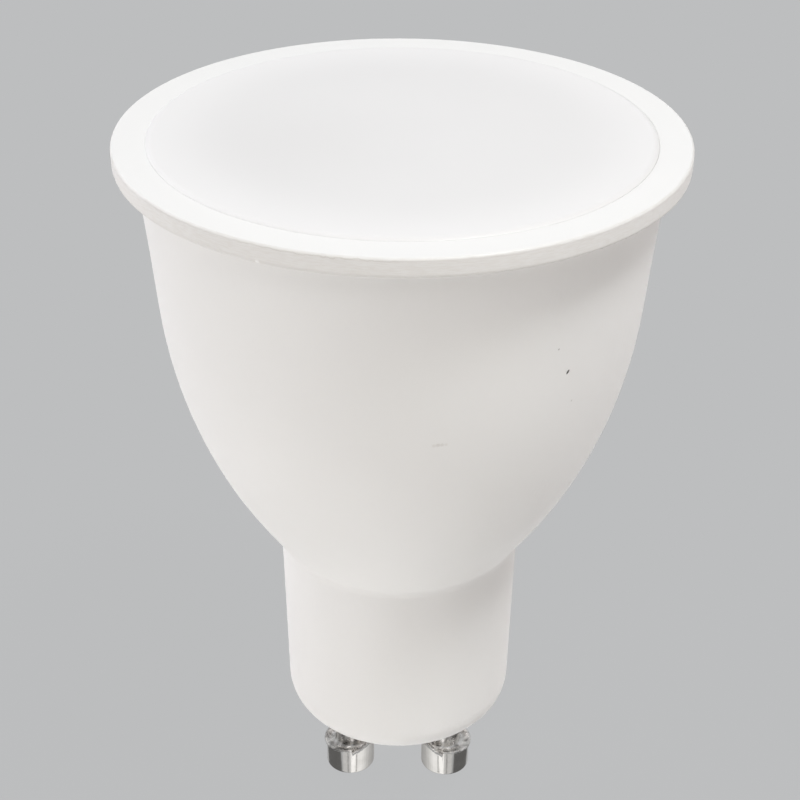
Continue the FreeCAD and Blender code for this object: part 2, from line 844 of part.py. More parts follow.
def make_input_wires():
    """Two insulated wires from the bores of the pins to the back of the driver board."""
    for name, side in (("input_wire_left", "-"), ("input_wire_right", "")):
        x = side + "pin_side"
        route = [
            point(x, "0", "-wire_start"),
            point(x, "0", "wire_bend_level"),
            point(x, "wire_swing", "wire_swing_level"),
            point(x, "wire_swing", "wire_run_level"),
            point(x, "wire_swing - wire_turn", "wire_hole_level"),
            point(x, "face + part_gap", "wire_hole_level"),
        ]
        path, radii = smooth_path(route)
        cover = tube(path, number("wire_radius"))
        length = number("2 * face + part_gap + lead_tail")
        tip = Part.makeCylinder(number("wire_core_radius"), length, route[-1],
                                FreeCAD.Vector(0, -1, 0))
        wire = doc.addObject("Part::Feature", name)
        wire.Label = name
        wire.Shape = cover.fuse(tip)
        wire.Placement = FreeCAD.Placement()
        section = math.pi * number("wire_radius") ** 2
        print("%s volume %.3f, section times length %.3f, bends %s" % (
            name, cover.Volume, section * path.Length, [round(radius, 2) for radius in radii]))
        keep(wire)


# Driver board, drilled for every lead that passes it

def lead_holes():
    """Places of the leads on the board, as (x, level, radius) formulas."""
    holes = []
    for side in ("-", ""):
        holes.append((side + "fuse_half_pitch", "fuse_level", "lead_radius"))
        holes.append((side + "film_half_pitch", "film_level", "lead_radius"))
        holes.append((side + "pin_side", "wire_hole_level", "wire_core_radius"))
        holes.append((side + "plug_side", "plug_bend_level", "plug_pin_radius"))
        for can in ("small_can", "large_can"):
            x = "%s%s_half_pitch - %s_side" % (side, can, can)
            holes.append((x, can + "_level - can_lead_drop", "lead_radius"))
        holes.append(("choke_side", "choke_level + %schoke_half_pitch" % side, "lead_radius"))
        for across in ("-", ""):
            x = "core_side + %sbobbin_pin_side" % across
            holes.append((x, "core_level + %sbobbin_pin_rise" % side, "lead_radius"))
    return holes


def make_driver_board():
    board = new_body("driver_board")
    outline = new_sketch(board, "XZ_Plane")
    draw_loop(outline, [
        ("-board_half", "board_level"),
        ("board_half", "board_level"),
        ("board_half", "wing_level"),
        ("wing_half", "wing_level"),
        ("wing_half", "board_top_level"),
        ("-wing_half", "board_top_level"),
        ("-wing_half", "wing_level"),
        ("-board_half", "wing_level"),
    ])
    for x, level, radius in lead_holes():
        draw_circle(outline, x, level, radius + " + hole_gap")
    extrude(board, "PartDesign::Pad", outline, "board_thickness", both_ways=True)
    keep(board)


def straight_leads(name, places, depth):
    """Leads from a part's back, a depth in front of the board, through the board."""
    leads = []
    for x, level in places:
        start = (x, "-face - %s" % depth, level)
        leads.append(rod(name, "lead_radius", "%s + 2 * face + lead_tail" % depth, start, "Y"))
    return leads


def make_fuse_resistor():
    depth = "-face - fuse_radius - part_gap"
    body = rod("fuse_body", "fuse_radius", "fuse_length",
               ("-fuse_length / 2", depth, "fuse_level"), "X")
    leads = []
    for side in ("-", ""):
        route = [
            point(side + "fuse_length / 4", depth, "fuse_level"),
            point(side + "fuse_half_pitch", depth, "fuse_level"),
            point(side + "fuse_half_pitch", "lead_end", "fuse_level"),
        ]
        leads.append(bent_lead("fuse_lead", route))
    keep(joined("fuse_resistor", [body] + leads))


def make_film_capacitor():
    middle = ("0", "-face - part_gap - film_depth / 2", "film_level")
    case = soft_block("film_case", ("film_length", "film_depth", "film_height"), middle, "film_round")
    places = [(side + "film_half_pitch", "film_level") for side in ("-", "")]
    leads = straight_leads("film_lead", places, "(part_gap + film_depth / 2)")
    keep(joined("film_capacitor", [case] + leads))


def make_can_capacitor(label, can):
    """A round can that lies along the board, its two leads bent into it."""
    body = new_body(can + "_shell")
    radius = can + "_radius"
    top = can + "_height"
    spin(body, [
        ("0", "0"),
        (radius + " - can_round", "0"),
        (radius, "can_round"),
        (radius, "can_groove_rise - can_groove_half_width"),
        (radius + " - can_groove_depth", "can_groove_rise"),
        (radius, "can_groove_rise + can_groove_half_width"),
        (radius, top + " - can_round"),
        (radius + " - can_round", top),
        ("0", top),
    ])
    depth = "-face - part_gap - " + radius
    move(body, "-%s_side" % can, depth, can + "_level")
    leads = []
    for side in ("-", ""):
        x = "%s%s_half_pitch - %s_side" % (side, can, can)
        bend = can + "_level - can_lead_drop"
        route = [
            point(x, depth, can + "_level + can_round"),
            point(x, depth, bend),
            point(x, "lead_end", bend),
        ]
        leads.append(bent_lead(can + "_lead", route))
    keep(joined(label, [body] + leads))


def make_choke():
    core = new_body("choke_core")
    back = "choke_height"
    spin(core, [
        ("0", "0"),
        ("choke_radius", "0"),
        ("choke_radius", "choke_flange"),
        ("choke_hub_radius", "choke_flange"),
        ("choke_hub_radius", back + " - choke_flange"),
        ("choke_radius", back + " - choke_flange"),
        ("choke_radius", back),
        ("0", back),
    ])
    coil = new_body("choke_winding")
    spin(coil, rectangle("choke_hub_radius + winding_gap", "choke_flange + winding_gap",
                         "choke_winding_radius", back + " - choke_flange - winding_gap"))
    for item in (core, coil):
        turn = FreeCAD.Rotation(FreeCAD.Vector(1, 0, 0), 90)
        item.Placement = FreeCAD.Placement(FreeCAD.Vector(), turn)
        move(item, "choke_side", "-face - part_gap", "choke_level")
        keep(item)
    places = [("choke_side", "choke_level + %schoke_half_pitch" % side) for side in ("-", "")]
    keep(grouped("choke_pins", straight_leads("choke_pin", places, "part_gap")))


# Transformer: two E-shaped core halves about a wound bobbin, taped round

def core_point(x, level):
    return ("core_side + " + x, "core_level + " + level)


def make_transformer():
    depth = "-core_depth_middle"
    halves = []
    for name, up in (("core_upper_half", ""), ("core_lower_half", "-")):
        half = new_body(name)
        outline = new_sketch(half, "XZ_Plane", "core_depth_middle")
        draw_loop(outline, [
            core_point("-core_length / 2", up + "core_half"),
            core_point("-core_length / 2", "0"),
            core_point("-core_window", "0"),
            core_point("-core_window", up + "(core_half - core_yoke)"),
            core_point("-core_leg / 2", up + "(core_half - core_yoke)"),
            core_point("-core_leg / 2", up + "core_air_gap / 2"),
            core_point("core_leg / 2", up + "core_air_gap / 2"),
            core_point("core_leg / 2", up + "(core_half - core_yoke)"),
            core_point("core_window", up + "(core_half - core_yoke)"),
            core_point("core_window", "0"),
            core_point("core_length / 2", "0"),
            core_point("core_length / 2", up + "core_half"),
        ])
        extrude(half, "PartDesign::Pad", outline, "core_depth", both_ways=True)
        halves.append(half)
    keep(grouped("transformer_core", halves))

    middle = ("core_side", depth, "core_level")
    tube_size = ("2 * bobbin_tube", "2 * bobbin_tube_depth", "2 * bobbin_half")
    flange_half = "core_window - bobbin_gap"
    flanges = []
    for side in ("-", ""):
        rise = "core_level + %sbobbin_pin_rise" % side
        size = ("2 * (%s)" % flange_half, "2 * bobbin_half_depth", "bobbin_flange")
        flanges.append(block("bobbin_end", size, ("core_side", depth, rise)))
    spool = joined("bobbin_spool", [block("bobbin_tube", tube_size, middle)] + flanges)
    bore_size = ("core_leg + 2 * bobbin_gap", "core_depth + 2 * bobbin_gap", "core_height")
    keep(cut("transformer_bobbin", spool, block("bobbin_bore", bore_size, middle)))

    coil_size = ("2 * (%s - coil_margin)" % flange_half, "2 * (bobbin_half_depth - coil_margin)",
                 "2 * (bobbin_half - bobbin_flange - winding_gap)")
    coil = soft_block("coil_block", coil_size, middle, "coil_round")
    bore_size = ("2 * (bobbin_tube + winding_gap)", "2 * (bobbin_tube_depth + winding_gap)",
                 "core_height")
    keep(cut("transformer_winding", coil, block("coil_bore", bore_size, middle)))

    places = []
    for side in ("-", ""):
        for across in ("-", ""):
            places.append(("core_side + %sbobbin_pin_side" % across,
                           "core_level + %sbobbin_pin_rise" % side))
    keep(grouped("transformer_pins", straight_leads("bobbin_pin", places, "part_gap")))

    band = ("core_length + 2 * (tape_gap + tape_thickness)", "tape_width",
            "core_height + 2 * (tape_gap + tape_thickness)")
    hollow = ("core_length + 2 * tape_gap", "2 * tape_width", "core_height + 2 * tape_gap")
    keep(cut("transformer_tape", block("tape_block", band, middle),
             block("tape_hollow", hollow, middle)))


# Parts on the back of the driver board

def legged_part(label, name, level):
    """A moulded part with gull-wing legs at both sides."""
    middle = ("0", "face + leg_sheet + %s_height / 2" % name, level)
    size = (name + "_width", name + "_height", name + "_length")
    items = [soft_block(name + "_case", size, middle, "chip_round")]
    count = whole(name + "_leg_count")
    for side in ("-", ""):
        for step in range(count):
            offset = "%s_leg_pitch * %s" % (name, step - (count - 1) / 2)
            rise = "%s + %s" % (level, offset)
            shoulder = ("%s(%s_width / 2 + leg_reach / 4)" % (side, name),
                        "face + %s_height / 2" % name, rise)
            items.append(block(name + "_shoulder", ("leg_reach / 2", "leg_sheet", "leg_width"),
                               shoulder))
            drop = ("%s(%s_width / 2 + leg_reach / 2)" % (side, name),
                    "face + %s_height / 4 + leg_sheet / 4" % name, rise)
            items.append(block(name + "_drop",
                               ("leg_sheet", "%s_height / 2 + leg_sheet / 2" % name, "leg_width"),
                               drop))
            foot = ("%s(%s_width / 2 + leg_reach * 3 / 4)" % (side, name),
                    "face + leg_sheet / 2", rise)
            items.append(block(name + "_foot", ("leg_reach / 2", "leg_sheet", "leg_width"), foot))
    keep(joined(label, items))


def make_diode():
    level = "wing_level + diode_rise"
    depth = "face + leg_sheet + diode_height / 2"
    case = soft_block("diode_case", ("diode_width", "diode_height", "diode_length"),
                      ("core_side", depth, level), "chip_round")
    tabs = block("diode_tabs", ("diode_width / 2", "leg_sheet * 2", "diode_length + leg_reach"),
                 ("core_side", "face + leg_sheet", level))
    keep(joined("output_diode", [case, tabs]))


def make_chips():
    resistors = []
    for step in range(whole("resistor_count")):
        level = "wing_level + resistor_rise + resistor_pitch * %d" % step
        resistors.append(block("resistor", ("resistor_length", "resistor_height", "resistor_width"),
                               ("-resistor_side", "face + resistor_height / 2", level)))
    keep(grouped("chip_resistors", resistors))
    capacitors = []
    for side in ("-", ""):
        capacitors.append(block("capacitor",
                                ("capacitor_width", "capacitor_height", "capacitor_length"),
                                (side + "capacitor_side", "face + capacitor_height / 2",
                                 "shoulder_level + capacitor_rise")))
    keep(grouped("chip_capacitors", capacitors))


# Plug: two pins that stand on the driver board and enter the light board's socket

def make_plug():
    middle = ("0", "plug_depth", "plug_base_level + plug_base_height / 2")
    base = block("plug_base", ("plug_base_length", "plug_base_width", "plug_base_height"), middle)
    keep(cut("plug_holder", base, plug_bores("holder", "plug_base_level", "plug_base_height")))
    pins = []
    for side in ("-", ""):
        route = [
            point(side + "plug_side", "plug_depth", "led_top_level + plug_pin_entry"),
            point(side + "plug_side", "plug_depth", "plug_bend_level"),
            point(side + "plug_side", "-lead_end", "plug_bend_level"),
        ]
        pins.append(bent_lead("plug_pin", route, "plug_pin_radius"))
    keep(grouped("plug_pins", pins))


make_housing()
make_cover()
make_heat_sink()
make_light_board()
make_contact_pins()
make_input_wires()
make_driver_board()
make_fuse_resistor()
make_film_capacitor()
make_can_capacitor("output_capacitor", "small_can")
make_can_capacitor("input_capacitor", "large_can")
make_choke()
make_transformer()
legged_part("bridge_rectifier", "rectifier", "rectifier_level")
legged_part("driver_ic", "chip", "chip_level")
make_diode()
make_chips()
make_plug()
doc.recompute()

for item in doc.Objects:
    if "Invalid" in item.State or "Error" in item.State:
        raise ValueError("%s did not build" % item.Label)
for piece in pieces:
    if piece.Shape.isNull() or not piece.Shape.isValid() or not piece.Shape.Solids:
        raise ValueError("%s has no valid solid" % piece.Label)

os.makedirs("parts", exist_ok=True)
for piece in pieces:
    piece.Shape.exportStep("parts/%s.step" % piece.Label)
    print("%-22s %2d solids %10.3f mm3" % (piece.Label, len(piece.Shape.Solids), piece.Shape.Volume))
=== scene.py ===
import math

import bpy
from mathutils import Matrix, Vector
from mathutils.bvhtree import BVHTree


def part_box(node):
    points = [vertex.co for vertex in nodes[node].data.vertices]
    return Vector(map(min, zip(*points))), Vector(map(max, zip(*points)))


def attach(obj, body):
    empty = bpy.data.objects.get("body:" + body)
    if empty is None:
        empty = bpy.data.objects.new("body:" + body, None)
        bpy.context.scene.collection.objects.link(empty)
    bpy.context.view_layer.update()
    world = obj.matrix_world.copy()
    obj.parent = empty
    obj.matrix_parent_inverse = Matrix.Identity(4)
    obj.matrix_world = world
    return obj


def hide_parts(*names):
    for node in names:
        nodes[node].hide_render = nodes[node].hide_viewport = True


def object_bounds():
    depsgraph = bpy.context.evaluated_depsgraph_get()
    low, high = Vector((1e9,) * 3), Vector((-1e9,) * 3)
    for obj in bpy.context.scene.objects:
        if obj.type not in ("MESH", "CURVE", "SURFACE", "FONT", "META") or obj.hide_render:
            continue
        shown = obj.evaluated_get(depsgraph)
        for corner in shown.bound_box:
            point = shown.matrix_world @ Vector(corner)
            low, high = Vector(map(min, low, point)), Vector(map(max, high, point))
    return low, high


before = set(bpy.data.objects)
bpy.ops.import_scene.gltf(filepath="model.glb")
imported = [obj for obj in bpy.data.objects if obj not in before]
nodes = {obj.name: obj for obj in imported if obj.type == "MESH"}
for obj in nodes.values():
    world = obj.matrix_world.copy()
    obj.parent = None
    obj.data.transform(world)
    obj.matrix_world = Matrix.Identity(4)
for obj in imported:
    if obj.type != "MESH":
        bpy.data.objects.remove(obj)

# GU10 LED spot lamp, standing face up on a pale table. Everything is in metres.

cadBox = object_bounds()
bpy.ops.object.select_all(action="DESELECT")
bpy.context.scene.view_settings.view_transform = "Standard"
print("frame loaded:", len(nodes), "nodes")


# Camera

cameraFacts = {
    "place": (0.001725, -0.142451, 0.120275),
    "yaw": -0.7053,          # degrees
    "pitch": 30.3186,        # downwards
    "roll": 0.4320,
    "lens": 79.06,
    "sensor": 36.0,
    "nearest": 0.01,
    "farthest": 10.0,
}


def addCamera(facts):
    data = bpy.data.cameras.new("camera")
    data.lens = facts["lens"]
    data.sensor_width = facts["sensor"]
    data.clip_start = facts["nearest"]
    data.clip_end = facts["farthest"]
    camera = bpy.data.objects.new("camera", data)
    bpy.context.scene.collection.objects.link(camera)
    turn = Matrix.Rotation(-math.radians(facts["yaw"]), 4, "Z")
    turn = turn @ Matrix.Rotation(math.radians(90 - facts["pitch"]), 4, "X")
    turn = turn @ Matrix.Rotation(math.radians(facts["roll"]), 4, "Z")
    camera.matrix_world = Matrix.Translation(facts["place"]) @ turn
    bpy.context.scene.camera = camera


addCamera(cameraFacts)
print("camera placed")


# Small helpers for node materials

noiseSpan = (0.3, 0.7)       # a noise texture's values lie mostly between these


def addNode(tree, kind, place, sockets=None, **settings):
    node = tree.nodes.new(kind)
    node.location = place
    for name, value in settings.items():
        setattr(node, name, value)
    for name, value in (sockets or {}).items():
        node.inputs[name].default_value = value
    return node


def mathNode(tree, place, operation, *values):
    node = addNode(tree, "ShaderNodeMath", place, operation=operation)
    for socket, value in zip(node.inputs, values):
        if isinstance(value, bpy.types.NodeSocket):
            tree.links.new(value, socket)
        else:
            socket.default_value = value
    return node.outputs[0]


def noiseNode(tree, coords, place, size, stretch=(1, 1, 1), detail=2.0):
    # Clouds about size metres across, drawn out along an axis by a stretch above 1.
    mapping = addNode(tree, "ShaderNodeMapping", (place[0] - 200, place[1]))
    mapping.inputs["Scale"].default_value = [1 / (size * pull) for pull in stretch]
    tree.links.new(coords, mapping.inputs["Vector"])
    noise = addNode(tree, "ShaderNodeTexNoise", place, {"Scale": 1.0, "Detail": detail})
    tree.links.new(mapping.outputs["Vector"], noise.inputs["Vector"])
    return noise.outputs["Fac"]


def rangeNode(tree, value, place, fromLow, fromHigh, toLow, toHigh, kind="LINEAR"):
    node = addNode(tree, "ShaderNodeMapRange", place,
                   {"From Min": fromLow, "From Max": fromHigh, "To Min": toLow, "To Max": toHigh},
                   interpolation_type=kind)
    tree.links.new(value, node.inputs["Value"])
    return node.outputs["Result"]


def mixColours(tree, mask, place, first, second):
    # Each colour is a tuple or the output of another node.
    node = addNode(tree, "ShaderNodeMix", place, data_type="RGBA")
    tree.links.new(mask, node.inputs["Factor"])
    for socket, colour in ((node.inputs[6], first), (node.inputs[7], second)):
        if isinstance(colour, bpy.types.NodeSocket):
            tree.links.new(colour, socket)
        else:
            socket.default_value = (*colour, 1.0)
    return node.outputs[2]


def bumpChain(tree, shader, heights, place):
    # heights: (output, depth in metres) pairs, one bump on top of the other
    below = None
    for step, (height, depth) in enumerate(heights):
        bump = addNode(tree, "ShaderNodeBump", (place[0] + 180 * step, place[1]),
                       {"Strength": 1.0, "Distance": depth})
        tree.links.new(height, bump.inputs["Height"])
        if below:
            tree.links.new(below, bump.inputs["Normal"])
        below = bump.outputs["Normal"]
    if below:
        tree.links.new(below, shader.inputs["Normal"])


def startFinish(name, look):
    # A shader whose colour drifts between two tones and whose roughness wanders, with a grain.
    material = bpy.data.materials.new(name)
    material.use_nodes = True
    tree = material.node_tree
    shader = tree.nodes["Principled BSDF"]
    for socket, value in look.get("sockets", {}).items():
        shader.inputs[socket].default_value = value
    coords = addNode(tree, "ShaderNodeTexCoord", (-1500, 0)).outputs["Object"]
    drift = noiseNode(tree, coords, (-1100, 300), look["driftSize"], detail=3.0)
    drift = rangeNode(tree, drift, (-900, 300), *noiseSpan, 0.0, 1.0)
    colour = mixColours(tree, drift, (-700, 300), look["colour"], look["otherColour"])
    wander = noiseNode(tree, coords, (-1100, 0), look["wanderSize"], detail=4.0)
    rough = rangeNode(tree, wander, (-900, 0), *noiseSpan, *look["roughness"])
    tree.links.new(rough, shader.inputs["Roughness"])
    heights = []
    for step, (size, depth, stretch) in enumerate(look["grain"]):
        grain = noiseNode(tree, coords, (-1100, -300 - 300 * step), size, stretch)
        heights.append((grain, depth))
    return {"material": material, "tree": tree, "shader": shader, "coords": coords,
            "colour": colour, "heights": heights}


def endFinish(finish):
    tree = finish["tree"]
    tree.links.new(finish["colour"], finish["shader"].inputs["Base Color"])
    bumpChain(tree, finish["shader"], finish["heights"], (-500, -300))
    return finish["material"]


def plainFinish(name, look):
    return endFinish(startFinish(name, look))


def axisParts(finish):
    split = addNode(finish["tree"], "ShaderNodeSeparateXYZ", (-1300, -900))
    finish["tree"].links.new(finish["coords"], split.inputs[0])
    return split.outputs


def nearMask(tree, value, place, centre, halfWidth):
    # 1 where the value lies within halfWidth of the centre, 0 elsewhere
    return mathNode(tree, place, "COMPARE", value, centre, halfWidth)


def paintOver(finish, mask, colour, place):
    finish["colour"] = mixColours(finish["tree"], mask, place, finish["colour"], colour)


def dress(material, *names):
    for name in names:
        for slot in nodes[name].material_slots:
            slot.material = material


# White moulded shell

shellLook = {
    "colour": (0.877, 0.873, 0.864),
    "otherColour": (0.868, 0.865, 0.857),
    "driftSize": 0.014,
    "wanderSize": 0.003,
    "roughness": (0.36, 0.45),
    "grain": [(0.0024, 0.000016, (1, 1, 1)),       # faint orange peel
              (0.00055, 0.0000025, (1, 1, 8))],    # draw marks of the mould
    "sockets": {"Specular IOR Level": 0.45},
    "sparkSize": 0.00042,                          # matt texture of the mould, in patches
    "sparkStretch": (1, 1, 1.6),
    "sparkDepth": 0.0000170,
    "patchSize": 0.011,
    "patchSpan": (0.48, 0.62),
    "streakSize": 0.00012,                         # trimming marks round the rim's side, carried over its rounded top edge as painted shade
    "streakStretch": (7, 7, 1),
    "streakSpan": (0.40, 0.65),
    "streakDepth": 0.0000025,
    "streakFrom": 0.0615,
    "streakTo": 0.06368,
    "streakColour": (0.792, 0.773, 0.747),
    "streakShare": (0.22, 0.68),                   # the least and the most of that colour
    "footLevel": 0.06195,                          # painted shade on the rim's rounded lower edge
    "footReach": 0.00045,
    "footShare": 0.85,
    "footShadeColour": (0.700, 0.685, 0.665),
    "edgeLevel": 0.06345,                          # painted shadow: a ragged dark line under the rim's trimmed edge
    "edgeHalf": 0.00005,
    "edgeGrain": 0.0009,
    "edgeWobble": 0.00022,
    "edgeColour": (0.740, 0.722, 0.700),
    "edgeWorst": (-0.0055, -0.0243, 0.0635),       # most ragged round here
    "edgeReach": (0.0045, 0.0080),
    "edgeShare": (0.90, 0.25),                     # there and elsewhere
    # Specks, each with its turn from the front towards the right in degrees, its height, radius,
    # colour and strength: a slanted pit of three, two pricks, a smudge of four, and a pale fleck.
    "spots": [(39.41, 0.04973, 0.000085, (0.012, 0.011, 0.010), 0.97),
              (39.23, 0.04962, 0.000060, (0.030, 0.028, 0.026), 0.85),
              (39.60, 0.04983, 0.000070, (0.025, 0.023, 0.021), 0.90),
              (35.91, 0.05237, 0.000060, (0.350, 0.335, 0.320), 0.60),
              (42.13, 0.04648, 0.000060, (0.500, 0.480, 0.460), 0.50),
              (8.15, 0.04502, 0.000110, (0.700, 0.682, 0.655), 0.45),
              (9.03, 0.04507, 0.000120, (0.640, 0.620, 0.595), 0.50),
              (9.91, 0.04507, 0.000110, (0.660, 0.640, 0.615), 0.45),
              (10.80, 0.04507, 0.000090, (0.720, 0.702, 0.675), 0.40),
              (-25.32, 0.06211, 0.000120, (0.960, 0.955, 0.945), 0.80)],
    "spotEdge": 1.9,                               # a speck fades out at this many radii
}


def placeOnShell(shell, turn, height):
    # The shell's outside at a turn and a height, where a ray from outside to the axis meets it.
    away = Vector((math.sin(math.radians(turn)), -math.cos(math.radians(turn)), 0))
    start = away * cadBox[1].x * 2 + Vector((0, 0, height))
    return shell.ray_cast(start, -away)[0]


def spotMask(tree, coords, place, centre, radius, edge, strength, beyond, kind="LINEAR"):
    # strength within the radius round a centre, going over to beyond at the edge
    away = addNode(tree, "ShaderNodeVectorMath", place, operation="DISTANCE")
    away.inputs[1].default_value = centre
    tree.links.new(coords, away.inputs[0])
    return rangeNode(tree, away.outputs["Value"], (place[0] + 200, place[1]),
                     radius, edge, strength, beyond, kind)


def shellFinish(look):
    finish = startFinish("white shell", look)
    tree, coords = finish["tree"], finish["coords"]
    patches = noiseNode(tree, coords, (-1100, -1200), look["patchSize"], detail=1.0)
    patches = rangeNode(tree, patches, (-900, -1200), *look["patchSpan"], 0.0, 1.0)
    spark = noiseNode(tree, coords, (-1100, -1500), look["sparkSize"], look["sparkStretch"])
    finish["heights"].append((mathNode(tree, (-700, -1300), "MULTIPLY", patches, spark),
                              look["sparkDepth"]))
    z = axisParts(finish)[2]
    rimMiddle = (look["streakFrom"] + look["streakTo"]) / 2
    rim = nearMask(tree, z, (-900, -1800), rimMiddle, look["streakTo"] - rimMiddle)
    streaks = noiseNode(tree, coords, (-1100, -1900), look["streakSize"], look["streakStretch"],
                        detail=3.0)
    finish["heights"].append((mathNode(tree, (-700, -1800), "MULTIPLY", rim, streaks),
                              look["streakDepth"]))
    # The streak colour is trimming marks on the rim's side, and painted shade over its rounded top
    # edge that dims its highlight.
    dull = rangeNode(tree, streaks, (-900, 2000), *look["streakSpan"], *look["streakShare"])
    paintOver(finish, mathNode(tree, (-700, 2000), "MULTIPLY", rim, dull),
              look["streakColour"], (-500, 2000))
    # Painted shade: the rim's rounded lower edge is darkened, most at its middle level.
    away = mathNode(tree, (-900, 2200), "SUBTRACT", z, look["footLevel"])
    foot = rangeNode(tree, mathNode(tree, (-800, 2200), "ABSOLUTE", away), (-700, 2200),
                     0.0, look["footReach"], look["footShare"], 0.0, "SMOOTHSTEP")
    paintOver(finish, mathNode(tree, (-600, 2200), "MULTIPLY", rim, foot),
              look["footShadeColour"], (-500, 2200))
    # Painted shadow: a ragged dark line just under the rim's trimmed top edge.
    broken = noiseNode(tree, coords, (-1100, 1800), look["edgeGrain"], detail=3.0)
    wobble = rangeNode(tree, broken, (-900, 1500), *noiseSpan, -look["edgeWobble"] / 2,
                       look["edgeWobble"] / 2)
    ragged = nearMask(tree, mathNode(tree, (-800, 1600), "ADD", z, wobble), (-700, 1650),
                      look["edgeLevel"], look["edgeHalf"])
    worst = spotMask(tree, coords, (-1100, 1650), look["edgeWorst"], *look["edgeReach"],
                     *look["edgeShare"])
    paintOver(finish, mathNode(tree, (-700, 1700), "MULTIPLY", ragged, worst),
              look["edgeColour"], (-500, 1700))
    mesh = nodes["housing"].data
    shell = BVHTree.FromPolygons([point.co for point in mesh.vertices],
                                 [face.vertices for face in mesh.polygons])
    for step, (turn, height, radius, colour, strength) in enumerate(look["spots"]):
        mask = spotMask(tree, coords, (-1100, 600 + 160 * step), placeOnShell(shell, turn, height),
                        radius, radius * look["spotEdge"], strength, 0.0)
        paintOver(finish, mask, colour, (-500, 600 + 160 * step))
    return endFinish(finish)


dress(shellFinish(shellLook), "housing")


# Small helpers for turned pieces

def pickPoints(piece, test):
    bpy.ops.object.mode_set(mode="OBJECT")
    mesh = piece.data
    for face in mesh.polygons:
        face.select = False
    for edge in mesh.edges:
        edge.select = False
    for point in mesh.vertices:
        point.select = test(point.co)
    bpy.ops.object.mode_set(mode="EDIT")
    bpy.ops.mesh.select_mode(type="VERT")


def pickFaces(piece, test):
    bpy.ops.object.mode_set(mode="OBJECT")
    mesh = piece.data
    for point in mesh.vertices:
        point.select = False
    for edge in mesh.edges:
        edge.select = False
    for face in mesh.polygons:
        face.select = test(face.center, face.normal)
    bpy.ops.object.mode_set(mode="EDIT")
    bpy.ops.mesh.select_mode(type="FACE")


def turnPiece(name, x, profile, sides):
    # A circle at the profile's first point is drawn out ring by ring, and both ends are closed.
    bpy.ops.object.select_all(action="DESELECT")
    radius, level = profile[0]
    bpy.ops.mesh.primitive_circle_add(vertices=sides, radius=radius, location=(x, 0, level))
    piece = bpy.context.object
    piece.name = name
    bpy.ops.object.transform_apply(location=True, rotation=False, scale=False)
    bpy.ops.object.mode_set(mode="EDIT")
    bpy.ops.mesh.select_mode(type="EDGE")
    bpy.ops.mesh.select_all(action="SELECT")
    bpy.ops.mesh.edge_face_add()
    bpy.ops.mesh.select_all(action="SELECT")
    bpy.ops.mesh.region_to_loop()
    for nextRadius, nextLevel in profile[1:]:
        bpy.ops.mesh.extrude_edges_move(TRANSFORM_OT_translate={"value": (0, 0, nextLevel - level)})
        share = nextRadius / radius
        bpy.ops.transform.resize(value=(share, share, 1), center_override=(x, 0, nextLevel))
        radius, level = nextRadius, nextLevel
    bpy.ops.mesh.edge_face_add()
    bpy.ops.mesh.select_all(action="SELECT")
    bpy.ops.mesh.normals_make_consistent(inside=False)
    bpy.ops.object.mode_set(mode="OBJECT")
    return piece


# Milky cover: a disc let into the rim, on a slit skirt that snaps into the bowl

coverShape = {
    "sides": 360,
    "reach": 0.022045,          # the seat in the rim, less a hair
    "thickness": 0.0015,
    "bevelWidth": 0.00060,      # the edge bends down to the rim and meets it at a slope
    "bevelHeight": 0.00018,
    "bevelTurn": 52.0,          # degrees of the ellipse that it takes
    "bevelSteps": 10,
    "skirtRadius": 0.02035,
    "skirtWall": 0.0010,
    "skirtHeight": 0.0043,
    "snapDrop": 0.0017,
    "snapWidth": 0.0016,
    "snapReach": 0.0004,
    "slots": 6,
    "slotWidth": 0.0030,
    "slotDepth": 0.0040,        # well through the wall on both sides
    "slotTop": 0.00003,         # a slot ends this far under the disc
    "smoothAngle": 30.0,
}

coverLook = {
    "colour": (0.792, 0.784, 0.782),
    "otherColour": (0.786, 0.779, 0.778),
    "driftSize": 0.012,
    "wanderSize": 0.004,
    "roughness": (0.38, 0.46),
    "grain": [(0.0030, 0.000008, (1, 1, 1)),
              (0.00030, 0.0000015, (1, 1, 1))],
    "sockets": {"Specular IOR Level": 0.45},
    "edgeColour": (0.850, 0.842, 0.841),           # painted light: paler towards the edge, over the wall that carries it
    "edgeFrom": 0.0125,
    "edgeTo": 0.0226,
    "edgeCurve": 1.6,
    "shadeColour": (0.764, 0.756, 0.753),          # the boards behind dim a soft patch
    "shadePlace": (-0.0102, -0.0042, 0.0639),
    "shadeReach": 0.0150,
}


def coverProfile(shape, top):
    seat = top - shape["thickness"]
    foot = seat - shape["skirtHeight"]
    snap = seat - shape["snapDrop"]
    outer = shape["skirtRadius"]
    inner = outer - shape["skirtWall"]
    hook = outer + shape["snapReach"]
    profile = [(inner, seat), (inner, foot), (outer, foot), (outer, snap - shape["snapWidth"]),
               (hook, snap - shape["snapWidth"] / 2), (hook, snap - shape["snapReach"]),
               (outer, snap), (outer, seat), (shape["reach"], seat)]
    whole = math.radians(shape["bevelTurn"])
    for step in range(shape["bevelSteps"], -1, -1):
        turn = whole * step / shape["bevelSteps"]
        profile.append(
            (shape["reach"] - shape["bevelWidth"] * (1 - math.sin(turn) / math.sin(whole)),
             top - shape["bevelHeight"] * (1 - math.cos(turn)) / (1 - math.cos(whole))))
    return profile


